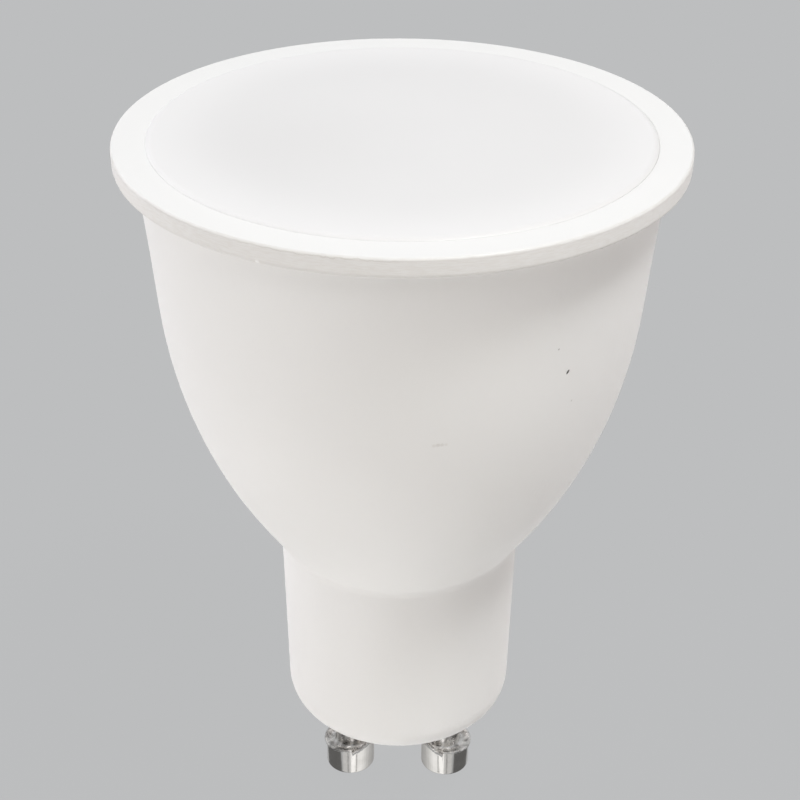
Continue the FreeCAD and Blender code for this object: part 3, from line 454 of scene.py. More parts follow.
def cutSlots(piece, shape, top):
    # Bars across the skirt are cut out of it, from just under the disc to below the skirt.
    high = top - shape["thickness"] - shape["slotTop"]
    length = shape["skirtHeight"] * 2
    reach = shape["skirtRadius"]
    bars = []
    for step in range(shape["slots"]):
        turn = 2 * math.pi * step / shape["slots"]
        bpy.ops.mesh.primitive_cube_add(
            size=1, rotation=(0, 0, turn), scale=(shape["slotDepth"], shape["slotWidth"], length),
            location=(reach * math.cos(turn), reach * math.sin(turn), high - length / 2))
        bars.append(bpy.context.object)
    for bar in bars:
        bar.select_set(True)
    bpy.ops.object.join()
    cutter = bpy.context.object
    cut = piece.modifiers.new("slots", "BOOLEAN")
    cut.operation = "DIFFERENCE"
    cut.object = cutter
    bpy.ops.object.select_all(action="DESELECT")
    bpy.context.view_layer.objects.active = piece
    bpy.ops.object.modifier_apply(modifier=cut.name)
    bpy.data.objects.remove(cutter)


def makeCover(shape):
    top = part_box("diffuser_cover")[1].z
    cover = turnPiece("milky_cover", 0, coverProfile(shape, top), shape["sides"])
    cutSlots(cover, shape, top)
    bpy.ops.object.shade_smooth_by_angle(angle=math.radians(shape["smoothAngle"]))
    return cover


def coverFinish(look):
    finish = startFinish("milky cover", look)
    tree = finish["tree"]
    shade = spotMask(tree, finish["coords"], (-1100, 600), look["shadePlace"],
                     0.0, look["shadeReach"], 1.0, 0.0, "SMOOTHSTEP")
    paintOver(finish, shade, look["shadeColour"], (-500, 600))
    # Painted light: the cover grows paler towards its edge.
    x, y, z = axisParts(finish)
    radius = mathNode(tree, (-1000, 850), "MULTIPLY", y, y)
    radius = mathNode(tree, (-900, 850), "MULTIPLY_ADD", x, x, radius)
    radius = mathNode(tree, (-800, 850), "SQRT", radius)
    edge = rangeNode(tree, radius, (-700, 850), look["edgeFrom"], look["edgeTo"], 0.0, 1.0,
                     "SMOOTHSTEP")
    edge = mathNode(tree, (-600, 850), "POWER", edge, look["edgeCurve"])
    paintOver(finish, edge, look["edgeColour"], (-500, 850))
    return endFinish(finish)


milkyCover = makeCover(coverShape)
milkyPlastic = coverFinish(coverLook)
milkyCover.data.materials.clear()
milkyCover.data.materials.append(milkyPlastic)
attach(milkyCover, "root")
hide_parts("diffuser_cover")
dress(milkyPlastic, "diffuser_cover")


# Contact pins: studs with a dished top, a rolled lip and a seam, nickel plated

pinShape = {
    "side": 0.005,              # from the lamp's axis to the middle of a pin
    "sides": 144,
    # The outline in radius and level: up the bore, round the flange in the shell, and down.
    "inside": [(0.00060, -0.00360), (0.00060, 0.00520), (0.00100, 0.00520), (0.00180, 0.00490),
               (0.00200, 0.00470), (0.00200, 0.00440), (0.00150, 0.00440)],
    "stem": [(0.00150, -0.00405), (0.00153, -0.00422), (0.00162, -0.00436), (0.00176, -0.00445),
             (0.00195, -0.00448), (0.00214, -0.00446), (0.00232, -0.00440)],
    "lip": [(0.00247, -0.00433), (0.00258, -0.00430), (0.00267, -0.00431), (0.00272, -0.00435),
            (0.00273, -0.00440), (0.00271, -0.00446), (0.00264, -0.00451), (0.00254, -0.00454)],
    "shoulder": [(0.00243, -0.00456), (0.00240, -0.00460), (0.00243, -0.00464), (0.00247, -0.00469),
                 (0.00249, -0.00475), (0.00250, -0.00483)],
    "tip": [(0.00250, -0.00705), (0.00249, -0.00714), (0.00245, -0.00723), (0.00238, -0.00731),
            (0.00228, -0.00737), (0.00215, -0.00740), (0.00150, -0.00740), (0.00110, -0.00739),
            (0.00080, -0.00735), (0.00040, -0.00734)],
    "lipFrom": 0.00244,         # the lip's own points: outside this radius, above this level
    "lipLevel": -0.00455,
    "bareLip": 0.925,           # how far the lip is rubbed down on the side of the other pin
    "bareFrom": 6,              # from here to there, in degrees from the front
    "bareTo": 110,
    # Teeth of the torn lip: from and to in degrees from the front, and their rise.
    "teeth": [(-50, -36, 0.00008), (-36, -26, 0.00018), (-26, -15, 0.00025), (-15, -5, 0.00032),
              (-5, 6, 0.00038), (6, 12, -0.00010), (12, 17, 0.00004), (17, 22, 0.00012),
              (22, 26, 0.00017), (26, 29, 0.00033), (29, 34, 0.00030), (34, 39, 0.00042),
              (39, 45, 0.00052), (45, 52, 0.00060), (52, 60, 0.00063), (60, 70, 0.00060),
              (70, 82, 0.00050), (82, 95, 0.00036), (95, 110, 0.00018)],
    "teethFrom": 0.00224,       # what rises lies outside this radius, and between two levels
    "teethFoot": -0.00484,
    "teethTop": -0.003,
    "wornAndPaintedAbove": -0.00458,      # the dish, the stem and the lip are dull and mottled, the mottle partly painted shade and reflections
    "seamTurn": 16.25,          # the seam stands beside the front, towards the other pin
    "seamHalf": 1.3,            # half its width, in degrees
    "seamFrom": 0.0024,         # its faces: outside this radius, under this level, and upright
    "seamTop": -0.0052,
    "seamTilt": 0.2,
    "seamInset": 0.000012,
    "seamDepth": 0.00009,
    "smoothAngle": 38.0,
}

pinLook = {
    "colour": (0.715, 0.705, 0.685),
    "otherColour": (0.650, 0.640, 0.618),
    "driftSize": 0.0012,
    "wanderSize": 0.0004,
    "roughness": (0.10, 0.20),
    "grain": [(0.00035, 0.0000016, (1, 1, 1)),
              (0.00100, 0.0000050, (1, 1, 1))],
    "sockets": {"Metallic": 1.0},
    "ringWidth": 0.00011,
    "ringDepth": 0.0000012,
    "wornAndPaintedLightColours": ((0.330, 0.320, 0.308), (0.900, 0.885, 0.865)),
    "mottleSize": 0.00090,
    "mottleSpan": (0.36, 0.64),
    "wornRoughness": 0.14,      # this much rougher
}


def turnFromFront(place, x):
    return math.degrees(math.atan2(place.x - x, -place.y))


def fromAxis(place, x):
    return math.hypot(place.x - x, place.y)


def markWornAndPaintedLight(pin, shape):
    wornAndPaintedLight = pin.data.attributes.new("wornAndPaintedLight", "FLOAT", "POINT")
    for point, mark in zip(pin.data.vertices, wornAndPaintedLight.data):
        mark.value = 1.0 if shape["wornAndPaintedAbove"] < point.co.z < 0 else 0.0


def onBareLip(place, shape, x):
    return (fromAxis(place, x) > shape["lipFrom"] and shape["lipLevel"] < place.z < 0
            and shape["bareFrom"] < turnFromFront(place, x) < shape["bareTo"])


def onTooth(place, shape, x, low, high):
    return (fromAxis(place, x) > shape["teethFrom"]
            and shape["teethFoot"] < place.z < shape["teethTop"]
            and low < turnFromFront(place, x) <= high)


def onSeam(place, normal, shape, x):
    return (abs(normal.z) < shape["seamTilt"] and fromAxis(place, x) > shape["seamFrom"]
            and shape["tip"][0][1] < place.z < shape["seamTop"]
            and abs(turnFromFront(place, x) - shape["seamTurn"]) < shape["seamHalf"])


def makePin(shape):
    x = -shape["side"]
    profile = shape["inside"] + shape["stem"] + shape["lip"] + shape["shoulder"] + shape["tip"]
    pin = turnPiece("pin_left", x, profile, shape["sides"])
    markWornAndPaintedLight(pin, shape)
    pickPoints(pin, lambda place: onBareLip(place, shape, x))
    bpy.ops.transform.resize(value=(shape["bareLip"], shape["bareLip"], 1), center_override=(x, 0, 0))
    for low, high, rise in shape["teeth"]:
        pickPoints(pin, lambda place: onTooth(place, shape, x, low, high))
        bpy.ops.transform.translate(value=(0, 0, rise))
    pickFaces(pin, lambda place, normal: onSeam(place, normal, shape, x))
    bpy.ops.mesh.inset(thickness=shape["seamInset"], depth=-shape["seamDepth"])
    bpy.ops.object.mode_set(mode="OBJECT")
    bpy.ops.object.shade_smooth_by_angle(angle=math.radians(shape["smoothAngle"]))
    return pin


def mirrorPiece(piece, name):
    other = piece.copy()
    other.data = piece.data.copy()
    other.name = name
    bpy.context.scene.collection.objects.link(other)
    bpy.ops.object.select_all(action="DESELECT")
    other.select_set(True)
    bpy.context.view_layer.objects.active = other
    bpy.ops.object.mode_set(mode="EDIT")
    bpy.ops.mesh.select_all(action="SELECT")
    bpy.ops.transform.mirror(constraint_axis=(True, False, False), center_override=(0, 0, 0))
    bpy.ops.mesh.normals_make_consistent(inside=False)
    bpy.ops.object.mode_set(mode="OBJECT")
    other.select_set(False)
    return other


def pinFinish(look, side):
    # Turning marks run round each pin, and the worn parts are rougher, dull and mottled, their dark
    # and pale mottle partly painted shade and reflections.
    finish = startFinish("nickel plate", look)
    tree = finish["tree"]
    x, y, z = axisParts(finish)
    local = mathNode(tree, (-1100, -900), "SUBTRACT", mathNode(tree, (-1200, -900), "ABSOLUTE", x),
                     side)
    ring = addNode(tree, "ShaderNodeCombineXYZ", (-1000, -900))
    tree.links.new(local, ring.inputs[0])
    tree.links.new(y, ring.inputs[1])
    length = addNode(tree, "ShaderNodeVectorMath", (-900, -900), operation="LENGTH")
    tree.links.new(ring.outputs[0], length.inputs[0])
    along = mathNode(tree, (-800, -900), "ADD", length.outputs["Value"], z)
    marks = addNode(tree, "ShaderNodeTexNoise", (-700, -900),
                    {"Scale": 1 / look["ringWidth"], "Detail": 3.0}, noise_dimensions="1D")
    tree.links.new(along, marks.inputs["W"])
    finish["heights"].append((marks.outputs["Fac"], look["ringDepth"]))
    wornAndPaintedLight = addNode(tree, "ShaderNodeAttribute", (-900, 700), attribute_name="wornAndPaintedLight").outputs["Fac"]
    mottle = noiseNode(tree, finish["coords"], (-1100, 900), look["mottleSize"], detail=1.5)
    mottle = rangeNode(tree, mottle, (-900, 900), *look["mottleSpan"], 0.0, 1.0)
    # Painted shade and reflections: a dark and pale mottle over the dish, the stem and the lip.
    dull = mixColours(tree, mottle, (-700, 900), *look["wornAndPaintedLightColours"])
    paintOver(finish, wornAndPaintedLight, dull, (-500, 800))
    rough = finish["shader"].inputs["Roughness"]
    rougher = mathNode(tree, (-700, 100), "MULTIPLY_ADD", wornAndPaintedLight, look["wornRoughness"],
                       rough.links[0].from_socket)
    tree.links.new(rougher, rough)
    return endFinish(finish)


leftPin = makePin(pinShape)
rightPin = mirrorPiece(leftPin, "pin_right")
nickelPlate = pinFinish(pinLook, pinShape["side"])
for pin, node in ((leftPin, "contact_pin_left"), (rightPin, "contact_pin_right")):
    pin.data.materials.clear()
    pin.data.materials.append(nickelPlate)
    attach(pin, "root")
    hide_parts(node)
dress(nickelPlate, "contact_pin_left", "contact_pin_right")
print("shell, cover and pins finished")


# Finishes of the pieces inside

innerLooks = {
    "drawn aluminium": {
        "colour": (0.74, 0.75, 0.76), "otherColour": (0.64, 0.65, 0.67),
        "driftSize": 0.006, "wanderSize": 0.0008, "roughness": (0.28, 0.42),
        "grain": [(0.0004, 0.000004, (1, 1, 12))], "sockets": {"Metallic": 1.0},
        "pieces": ["heat_sink"],
    },
    "thermal paste": {
        "colour": (0.80, 0.81, 0.82), "otherColour": (0.70, 0.71, 0.73),
        "driftSize": 0.002, "wanderSize": 0.001, "roughness": (0.55, 0.75),
        "grain": [(0.0008, 0.00004, (1, 1, 1))], "pieces": ["thermal_paste"],
    },
    "led case": {
        "colour": (0.86, 0.86, 0.84), "otherColour": (0.80, 0.80, 0.77),
        "driftSize": 0.001, "wanderSize": 0.0004, "roughness": (0.45, 0.60),
        "grain": [(0.0001, 0.000002, (1, 1, 1))], "pieces": ["led_packages"],
    },
    "led phosphor": {
        "colour": (0.90, 0.74, 0.18), "otherColour": (0.80, 0.58, 0.10),
        "driftSize": 0.0006, "wanderSize": 0.0005, "roughness": (0.12, 0.24),
        "grain": [(0.0002, 0.000004, (1, 1, 1))],
        "sockets": {"Coat Weight": 0.6, "Coat Roughness": 0.08}, "pieces": ["led_phosphors"],
    },
    "ivory plastic": {
        "colour": (0.83, 0.80, 0.70), "otherColour": (0.77, 0.73, 0.62),
        "driftSize": 0.003, "wanderSize": 0.001, "roughness": (0.42, 0.55),
        "grain": [(0.0002, 0.000003, (1, 1, 1))], "pieces": ["led_board_socket"],
    },
    "wire insulation": {
        "colour": (0.76, 0.75, 0.72), "otherColour": (0.68, 0.66, 0.62),
        "driftSize": 0.004, "wanderSize": 0.001, "roughness": (0.40, 0.55),
        "grain": [(0.0003, 0.000006, (1, 1, 3))], "pieces": ["input_wire_left", "input_wire_right"],
    },
    "tinned wire": {
        "colour": (0.70, 0.71, 0.72), "otherColour": (0.60, 0.61, 0.63),
        "driftSize": 0.0015, "wanderSize": 0.0005, "roughness": (0.22, 0.38),
        "grain": [(0.0003, 0.000005, (1, 1, 1))], "sockets": {"Metallic": 1.0},
        "pieces": ["choke_pins", "transformer_pins", "plug_pins"],
    },
    "black plastic": {
        "colour": (0.045, 0.045, 0.047), "otherColour": (0.030, 0.030, 0.032),
        "driftSize": 0.002, "wanderSize": 0.0006, "roughness": (0.45, 0.62),
        "grain": [(0.00015, 0.000004, (1, 1, 1))], "pieces": ["transformer_bobbin", "plug_holder"],
    },
    "ferrite": {
        "colour": (0.120, 0.120, 0.128), "otherColour": (0.080, 0.080, 0.088),
        "driftSize": 0.0012, "wanderSize": 0.0004, "roughness": (0.50, 0.72),
        "grain": [(0.00012, 0.000008, (1, 1, 1))], "pieces": ["choke_core", "transformer_core"],
    },
    "yellow tape": {
        "colour": (0.82, 0.62, 0.09), "otherColour": (0.74, 0.53, 0.06),
        "driftSize": 0.002, "wanderSize": 0.0012, "roughness": (0.16, 0.30),
        "grain": [(0.0010, 0.000015, (4, 4, 1))], "pieces": ["transformer_tape"],
    },
}

for name, look in innerLooks.items():
    dress(plainFinish(name, look), *look["pieces"])


# Light board: white solder mask over pads and tracks

boardLook = {
    "colour": (0.86, 0.86, 0.84), "otherColour": (0.82, 0.82, 0.80),
    "driftSize": 0.010, "wanderSize": 0.002, "roughness": (0.30, 0.40),
    "grain": [(0.0002, 0.000002, (1, 1, 1))],
    "tracks": 330.0,
    "trackColour": (0.78, 0.78, 0.75),
    "trackDepth": 0.00003,
}


trackGap = (0.03, 0.07)      # from a gap's edge to where a field starts, in parts of a field


def trackFinish(name, look):
    # Wide copper fields with narrow gaps, felt through the mask.
    finish = startFinish(name, look)
    tree = finish["tree"]
    fields = addNode(tree, "ShaderNodeTexVoronoi", (-1100, 600), {"Scale": look["tracks"]},
                     feature="DISTANCE_TO_EDGE", distance="EUCLIDEAN")
    tree.links.new(finish["coords"], fields.inputs["Vector"])
    gap = rangeNode(tree, fields.outputs["Distance"], (-900, 600), *trackGap, 1.0, 0.0)
    paintOver(finish, gap, look["trackColour"], (-500, 600))
    copper = rangeNode(tree, fields.outputs["Distance"], (-900, 450), *trackGap, 0.0, 1.0)
    finish["heights"].append((copper, look["trackDepth"]))
    return endFinish(finish)


dress(trackFinish("white board", boardLook), "led_board")

driverLook = {
    "colour": (0.045, 0.230, 0.110), "otherColour": (0.035, 0.180, 0.085),
    "driftSize": 0.008, "wanderSize": 0.002, "roughness": (0.26, 0.36),
    "grain": [(0.0004, 0.000002, (1, 1, 1))],
    "tracks": 420.0,
    "trackColour": (0.025, 0.120, 0.060),
    "trackDepth": 0.00003,
}

dress(trackFinish("green board", driverLook), "driver_board")


# Wound copper: the turns stand out as ridges along the winding

windingLook = {
    "colour": (0.60, 0.27, 0.11), "otherColour": (0.48, 0.19, 0.07),
    "driftSize": 0.002, "wanderSize": 0.0006, "roughness": (0.22, 0.36),
    "grain": [(0.0003, 0.000003, (1, 1, 1))],
    "sockets": {"Metallic": 0.7, "Coat Weight": 0.4, "Coat Roughness": 0.15},
    "turnPitch": 0.00044,
    "turnDepth": 0.00007,
    "turnSway": 0.15,
}


def windingFinish(name, look, direction):
    finish = startFinish(name, look)
    tree = finish["tree"]
    # The bands of a wave texture lie pi / 10 apart at a scale of 1.
    wave = addNode(tree, "ShaderNodeTexWave", (-1100, -900),
                   {"Scale": math.pi / (10 * look["turnPitch"]), "Distortion": look["turnSway"]},
                   wave_type="BANDS", bands_direction=direction)
    tree.links.new(finish["coords"], wave.inputs["Vector"])
    finish["heights"].append((wave.outputs["Fac"], look["turnDepth"]))
    return endFinish(finish)


dress(windingFinish("choke wire", windingLook, "Y"), "choke_winding")
dress(windingFinish("transformer wire", windingLook, "Z"), "transformer_winding")


# Parts on the driver board that carry bands, stripes or metal ends

hair = 0.00001       # a body's own end faces stay on the body's side of a level

fuseLook = {
    "colour": (0.20, 0.42, 0.34), "otherColour": (0.16, 0.35, 0.28),
    "driftSize": 0.002, "wanderSize": 0.0008, "roughness": (0.30, 0.42),
    "grain": [(0.0006, 0.000012, (1, 1, 1))],
    "bodyHalf": 0.0035,
    "bands": [(-0.0022, (0.30, 0.12, 0.04)), (-0.0010, (0.02, 0.02, 0.02)),
              (0.0002, (0.02, 0.02, 0.02)), (0.0021, (0.62, 0.45, 0.12))],
    "bandHalf": 0.00035,
    "leadColour": (0.66, 0.67, 0.68),
}


def fuseFinish(look):
    # A lacquered body with the usual four value rings, and tinned leads beyond its ends.
    finish = startFinish("fuse lacquer", look)
    tree = finish["tree"]
    x = axisParts(finish)[0]
    for step, (middle, colour) in enumerate(look["bands"]):
        mask = nearMask(tree, x, (-900, 600 + 150 * step), middle, look["bandHalf"])
        paintOver(finish, mask, colour, (-500, 600 + 150 * step))
    reach = mathNode(tree, (-1000, 1300), "ABSOLUTE", x)
    lead = mathNode(tree, (-900, 1300), "GREATER_THAN", reach, look["bodyHalf"] + 2 * hair)
    paintOver(finish, lead, look["leadColour"], (-500, 1300))
    tree.links.new(lead, finish["shader"].inputs["Metallic"])
    return endFinish(finish)


dress(fuseFinish(fuseLook), "fuse_resistor")

filmLook = {
    "colour": (0.46, 0.10, 0.05), "otherColour": (0.38, 0.08, 0.04),
    "driftSize": 0.003, "wanderSize": 0.001, "roughness": (0.16, 0.28),
    "grain": [(0.0012, 0.000020, (1, 1, 1))],
    "sockets": {"Coat Weight": 0.5, "Coat Roughness": 0.1},
    "leadColour": (0.66, 0.67, 0.68),
    "boardFace": -0.00069,
}


def leadFinish(name, look, axis, level, above):
    # The body's finish, with tinned leads on one side of a level along an axis.
    finish = startFinish(name, look)
    tree = finish["tree"]
    value = axisParts(finish)[axis]
    lead = mathNode(tree, (-900, 1300), "GREATER_THAN" if above else "LESS_THAN", value, level)
    paintOver(finish, lead, look["leadColour"], (-500, 1300))
    tree.links.new(lead, finish["shader"].inputs["Metallic"])
    return finish


dress(endFinish(leadFinish("film case", filmLook, 1, filmLook["boardFace"], True)), "film_capacitor")

canLook = {
    "colour": (0.050, 0.058, 0.085), "otherColour": (0.035, 0.040, 0.062),
    "driftSize": 0.004, "wanderSize": 0.001, "roughness": (0.20, 0.32),
    "grain": [(0.0010, 0.000010, (1, 1, 4))],
    "sockets": {"Coat Weight": 0.3, "Coat Roughness": 0.12},
    "leadColour": (0.66, 0.67, 0.68),
    "leadLength": 0.0019,
    "stripeColour": (0.42, 0.44, 0.47),
    "stripeHalf": 0.0008,
    "stripePlace": 0.25,                # of the way from the left side
    "lidColour": (0.62, 0.63, 0.64),
    "lidDepth": 0.0004,
}


def canFinish(name, piece, look):
    # A shrunk sleeve with a pale stripe down one side and the bare can's lid on top.
    low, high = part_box(piece)
    finish = leadFinish(name, look, 2, low.z + look["leadLength"], False)
    tree = finish["tree"]
    x, y, z = axisParts(finish)
    stripePlace = low.x + (high.x - low.x) * look["stripePlace"]
    stripe = nearMask(tree, x, (-900, 600), stripePlace, look["stripeHalf"])
    paintOver(finish, stripe, look["stripeColour"], (-500, 600))
    lid = mathNode(tree, (-900, 800), "GREATER_THAN", z, high.z - look["lidDepth"])
    paintOver(finish, lid, look["lidColour"], (-500, 800))
    return endFinish(finish)


dress(canFinish("small can sleeve", "output_capacitor", canLook), "output_capacitor")
dress(canFinish("large can sleeve", "input_capacitor", canLook), "input_capacitor")

chipLook = {
    "colour": (0.040, 0.040, 0.042), "otherColour": (0.028, 0.028, 0.030),
    "driftSize": 0.0015, "wanderSize": 0.0005, "roughness": (0.46, 0.62),
    "grain": [(0.0001, 0.000004, (1, 1, 1))],
    "metalColour": (0.68, 0.69, 0.70),
}


def leggedFinish(name, piece, look, axis, bodyHalf):
    # Black moulding with tinned legs or tabs beyond its body along an axis.
    low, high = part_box(piece)
    finish = startFinish(name, look)
    tree = finish["tree"]
    away = mathNode(tree, (-1000, 600), "SUBTRACT", axisParts(finish)[axis],
                    (low[axis] + high[axis]) / 2)
    reach = mathNode(tree, (-900, 600), "ABSOLUTE", away)
    metal = mathNode(tree, (-800, 600), "GREATER_THAN", reach, bodyHalf + hair)
    paintOver(finish, metal, look["metalColour"], (-500, 600))
    tree.links.new(metal, finish["shader"].inputs["Metallic"])
    return endFinish(finish)


resistorLook = dict(chipLook, roughness=(0.35, 0.5), colour=(0.055, 0.055, 0.06))
capacitorLook = {
    "colour": (0.50, 0.37, 0.24), "otherColour": (0.42, 0.31, 0.20),
    "driftSize": 0.0008, "wanderSize": 0.0005, "roughness": (0.40, 0.55),
    "grain": [(0.0001, 0.000003, (1, 1, 1))],
    "metalColour": (0.68, 0.69, 0.70),
}

# Finish, look, axis of the legs and half the body's length along it
leggedPieces = {
    "bridge_rectifier": ("rectifier case", chipLook, 0, 0.00195),
    "driver_ic": ("driver case", chipLook, 0, 0.00195),
    "output_diode": ("diode case", chipLook, 2, 0.00215),
    "chip_resistors": ("resistor chip", resistorLook, 0, 0.00115),
    "chip_capacitors": ("capacitor chip", capacitorLook, 2, 0.00065),
}
for piece, (name, look, axis, bodyHalf) in leggedPieces.items():
    dress(leggedFinish(name, piece, look, axis, bodyHalf), piece)
print("inner finishes made")


# Table, air and lamps of the studio

stageLook = {
    "paper": (0.509, 0.515, 0.521),     # the plain grey behind the lamp
    "bounce": (0.85, 0.85, 0.84),       # how pale the table is to the light that it sends back
    "size": 6.0,
    "drop": 0.0002,                     # the table's level under the pins
    "shadowShare": 0.03,                # how much of the lamp's shadow the table keeps
    "shadowFrom": 0.03,                 # all of that up to here, and none from the reach on
    "shadowReach": 0.12,
}


def mixShaders(tree, place, mask, first, second):
    mix = addNode(tree, "ShaderNodeMixShader", place)
    tree.links.new(mask, mix.inputs[0])
    tree.links.new(first.outputs[0], mix.inputs[1])
    tree.links.new(second.outputs[0], mix.inputs[2])
    return mix


def addTable(look):
    level = cadBox[0].z - look["drop"]
    bpy.ops.mesh.primitive_plane_add(size=look["size"], location=(0, 0, level))
    table = bpy.context.object
    table.name = "table"
    material = bpy.data.materials.new("table paper")
    material.use_nodes = True
    tree = material.node_tree
    tree.nodes.clear()
    out = addNode(tree, "ShaderNodeOutputMaterial", (800, 0))
    bounce = addNode(tree, "ShaderNodeBsdfDiffuse", (-200, -300), {"Color": (*look["bounce"], 1)})
    paper = addNode(tree, "ShaderNodeBsdfDiffuse", (-200, -100), {"Color": (*look["paper"], 1)})
    glow = addNode(tree, "ShaderNodeEmission", (-200, 100),
                   {"Color": (*look["paper"], 1), "Strength": 1.0})
    coords = addNode(tree, "ShaderNodeTexCoord", (-900, 0)).outputs["Object"]
    away = addNode(tree, "ShaderNodeVectorMath", (-700, 0), operation="LENGTH")
    tree.links.new(coords, away.inputs[0])
    share = rangeNode(tree, away.outputs["Value"], (-500, 0), look["shadowFrom"],
                      look["shadowReach"], look["shadowShare"], 0.0)
    path = addNode(tree, "ShaderNodeLightPath", (-700, 400)).outputs
    seenRays = mathNode(tree, (-400, 400), "MAXIMUM", path["Is Camera Ray"],
                        path["Is Transmission Ray"])
    # Reflections look through the table, lamps under it shine up, and it is clear from below.
    under = addNode(tree, "ShaderNodeNewGeometry", (-400, -500)).outputs["Backfacing"]
    clearRays = mathNode(tree, (-200, -500), "MAXIMUM", under, path["Is Glossy Ray"])
    clearRays = mathNode(tree, (0, -500), "MAXIMUM", clearRays, path["Is Shadow Ray"])
    clear = addNode(tree, "ShaderNodeBsdfTransparent", (200, -200))
    seen = mixShaders(tree, (0, 100), share, glow, paper)
    solid = mixShaders(tree, (200, 0), seenRays, bounce, seen)
    whole = mixShaders(tree, (500, 0), clearRays, solid, clear)
    tree.links.new(whole.outputs[0], out.inputs[0])
    table.data.materials.append(material)
    table.select_set(False)


def addAir(look):
    # The air shows the paper's grey and sheds no light: that comes from the lamps.
    world = bpy.data.worlds.new("studio air")
    bpy.context.scene.world = world
    world.use_nodes = True
    tree = world.node_tree
    tree.nodes.clear()
    out = addNode(tree, "ShaderNodeOutputWorld", (600, 0))
    seen = addNode(tree, "ShaderNodeBackground", (300, 0), {"Color": (*look["paper"], 1)})
    path = addNode(tree, "ShaderNodeLightPath", (-400, 0)).outputs
    rays = mathNode(tree, (-200, 0), "MAXIMUM", path["Is Camera Ray"], path["Is Glossy Ray"])
    rays = mathNode(tree, (0, 0), "MAXIMUM", rays, path["Is Transmission Ray"])
    tree.links.new(rays, seen.inputs["Strength"])
    tree.links.new(seen.outputs[0], out.inputs[0])


# Each lamp: turn from the front towards the right and height, both in degrees, side and power.
# Those with a height below 0 shine up through the table.
softboxes = {
    "key lamp": {"turn": 66.1, "height": 67, "size": 0.10, "power": 1.53,
                 "tint": (0.95, 0.96, 1.0)},
    "second key": {"turn": 46.1, "height": 67, "size": 0.10, "power": 0.89,
                   "tint": (0.97, 1.0, 0.92)},
    "front top box": {"turn": 1.1, "height": 55, "size": 0.30, "power": 0.97,
                      "tint": (1.0, 0.98, 0.96)},
    "right box": {"turn": 46.1, "height": 25, "size": 0.30, "power": 0.38,
                  "tint": (1.0, 0.82, 0.75)},
    "left box": {"turn": 271.1, "height": 25, "size": 0.30, "power": 0.42,
                 "tint": (0.89, 0.92, 1.0)},
    "back left box": {"turn": 226.1, "height": 25, "size": 0.30, "power": 1.74,
                      "tint": (0.97, 0.96, 1.0)},
    "back right fill": {"turn": 136.1, "height": -20, "size": 0.30, "power": 1.25,
                        "tint": (1.0, 0.90, 0.86)},
    "left fill": {"turn": 271.1, "height": -20, "size": 0.30, "power": 1.03,
                  "tint": (1.0, 0.93, 0.91)},
    "front left fill": {"turn": 316.1, "height": -20, "size": 0.30, "power": 0.68,
                        "tint": (1.0, 0.95, 0.88)},
}
lampFacts = {
    "distance": 0.60,
    "target": Vector((0, 0, 0.035)),
    "shinyAbove": 45,       # lamps above this height show in reflections
    "searchedAbove": 20,    # rays that search for a lower lamp would stop at the table
}


def addSoftbox(name, look):
    data = bpy.data.lights.new(name, "AREA")
    data.shape = "SQUARE"
    data.size = look["size"]
    data.energy = look["power"]
    data.color = look["tint"]
    lamp = bpy.data.objects.new(name, data)
    bpy.context.scene.collection.objects.link(lamp)
    turn, height = math.radians(look["turn"]), math.radians(look["height"])
    away = Vector((math.sin(turn) * math.cos(height), -math.cos(turn) * math.cos(height),
                   math.sin(height)))
    place = lampFacts["target"] + away * lampFacts["distance"]
    lamp.matrix_world = Matrix.Translation(place) @ away.to_track_quat("Z", "Y").to_matrix().to_4x4()
    lamp.visible_camera = False
    lamp.visible_glossy = look["height"] > lampFacts["shinyAbove"]
    data.cycles.use_multiple_importance_sampling = look["height"] > lampFacts["searchedAbove"]


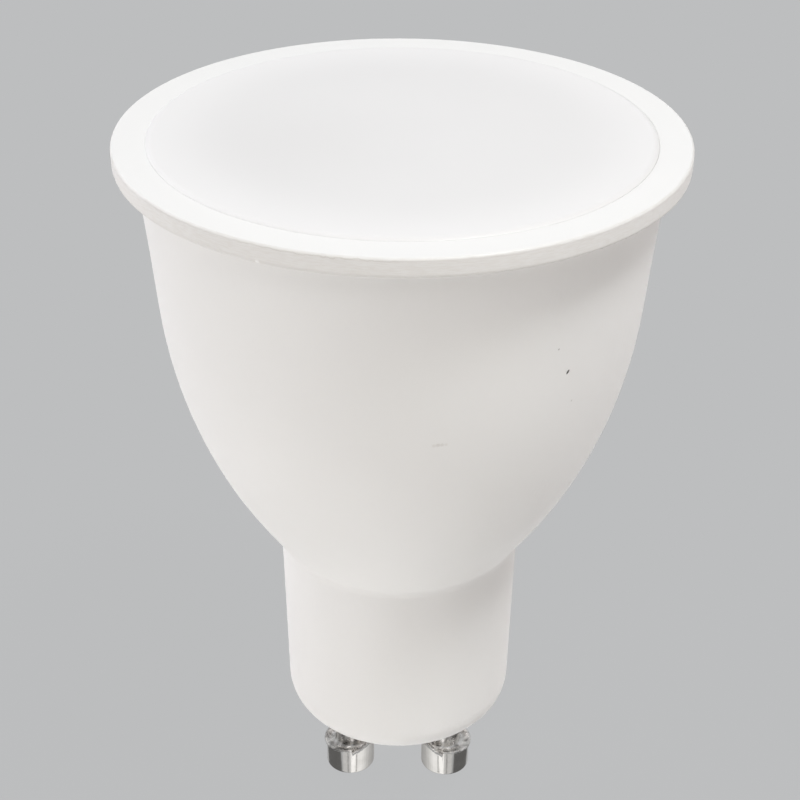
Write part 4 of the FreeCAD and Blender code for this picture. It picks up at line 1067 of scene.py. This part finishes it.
# Upright cards under the table, which show only in reflections: two ends in plan and a tone.
cards = {
    "left flag": {"ends": ((-0.040, -0.038), (-0.040, 0.031)), "tone": 0.15},
    "right flag": {"ends": ((0.040, -0.038), (0.040, 0.031)), "tone": 0.15},
    "front strip": {"ends": ((-0.0036, -0.020), (0.0036, -0.020)), "tone": 1.35},
    "left line": {"ends": ((-0.0092, -0.020), (-0.0078, -0.020)), "tone": 0.22},
    "right line": {"ends": ((0.0078, -0.020), (0.0092, -0.020)), "tone": 0.22},
    "back paper": {"ends": ((-0.060, -0.075), (0.060, -0.075)), "tone": 0.72},
}
cardSpan = {"top": -0.0080, "middleTop": -0.0055, "foot": -0.3000}
cardTint = (1.0, 0.99, 0.98)

# Between the pins stands a row of cards that fall off in tone towards the back: from y, to y, tone.
middleCards = [(-0.0090, -0.0042, 1.10), (-0.0042, -0.0032, 0.98), (-0.0032, -0.0022, 0.84),
               (-0.0022, -0.0010, 0.70), (-0.0010, 0.0002, 0.57), (0.0002, 0.0015, 0.50),
               (0.0015, 0.0200, 0.43)]
for step, (near, far, tone) in enumerate(middleCards):
    cards["middle card %d" % (step + 1)] = {"ends": ((0, near), (0, far)), "tone": tone,
                                            "top": cardSpan["middleTop"]}


def addCard(name, look):
    bpy.ops.object.select_all(action="DESELECT")
    bpy.ops.mesh.primitive_plane_add(size=1)
    card = bpy.context.object
    card.name = name.replace(" ", "_")
    (x0, y0), (x1, y1) = look["ends"]
    top = look.get("top", cardSpan["top"])
    along = Vector((x1 - x0, y1 - y0, 0))
    down = Vector((0, 0, top - cardSpan["foot"]))
    middle = Vector(((x0 + x1) / 2, (y0 + y1) / 2, (top + cardSpan["foot"]) / 2))
    side = along.normalized().cross(down.normalized())
    card.matrix_world = Matrix.Translation(middle) @ Matrix((along, down, side)).transposed().to_4x4()
    material = bpy.data.materials.new(name)
    material.use_nodes = True
    tree = material.node_tree
    tree.nodes.clear()
    out = addNode(tree, "ShaderNodeOutputMaterial", (200, 0))
    glow = addNode(tree, "ShaderNodeEmission", (0, 0),
                   {"Color": (*cardTint, 1), "Strength": look["tone"]})
    tree.links.new(glow.outputs[0], out.inputs[0])
    card.data.materials.append(material)
    for kind in ("camera", "diffuse", "transmission", "volume_scatter", "shadow"):
        setattr(card, "visible_" + kind, False)


addTable(stageLook)
addAir(stageLook)
for name, look in softboxes.items():
    addSoftbox(name, look)
for name, look in cards.items():
    addCard(name, look)
bpy.ops.object.select_all(action="DESELECT")
print("studio lit")
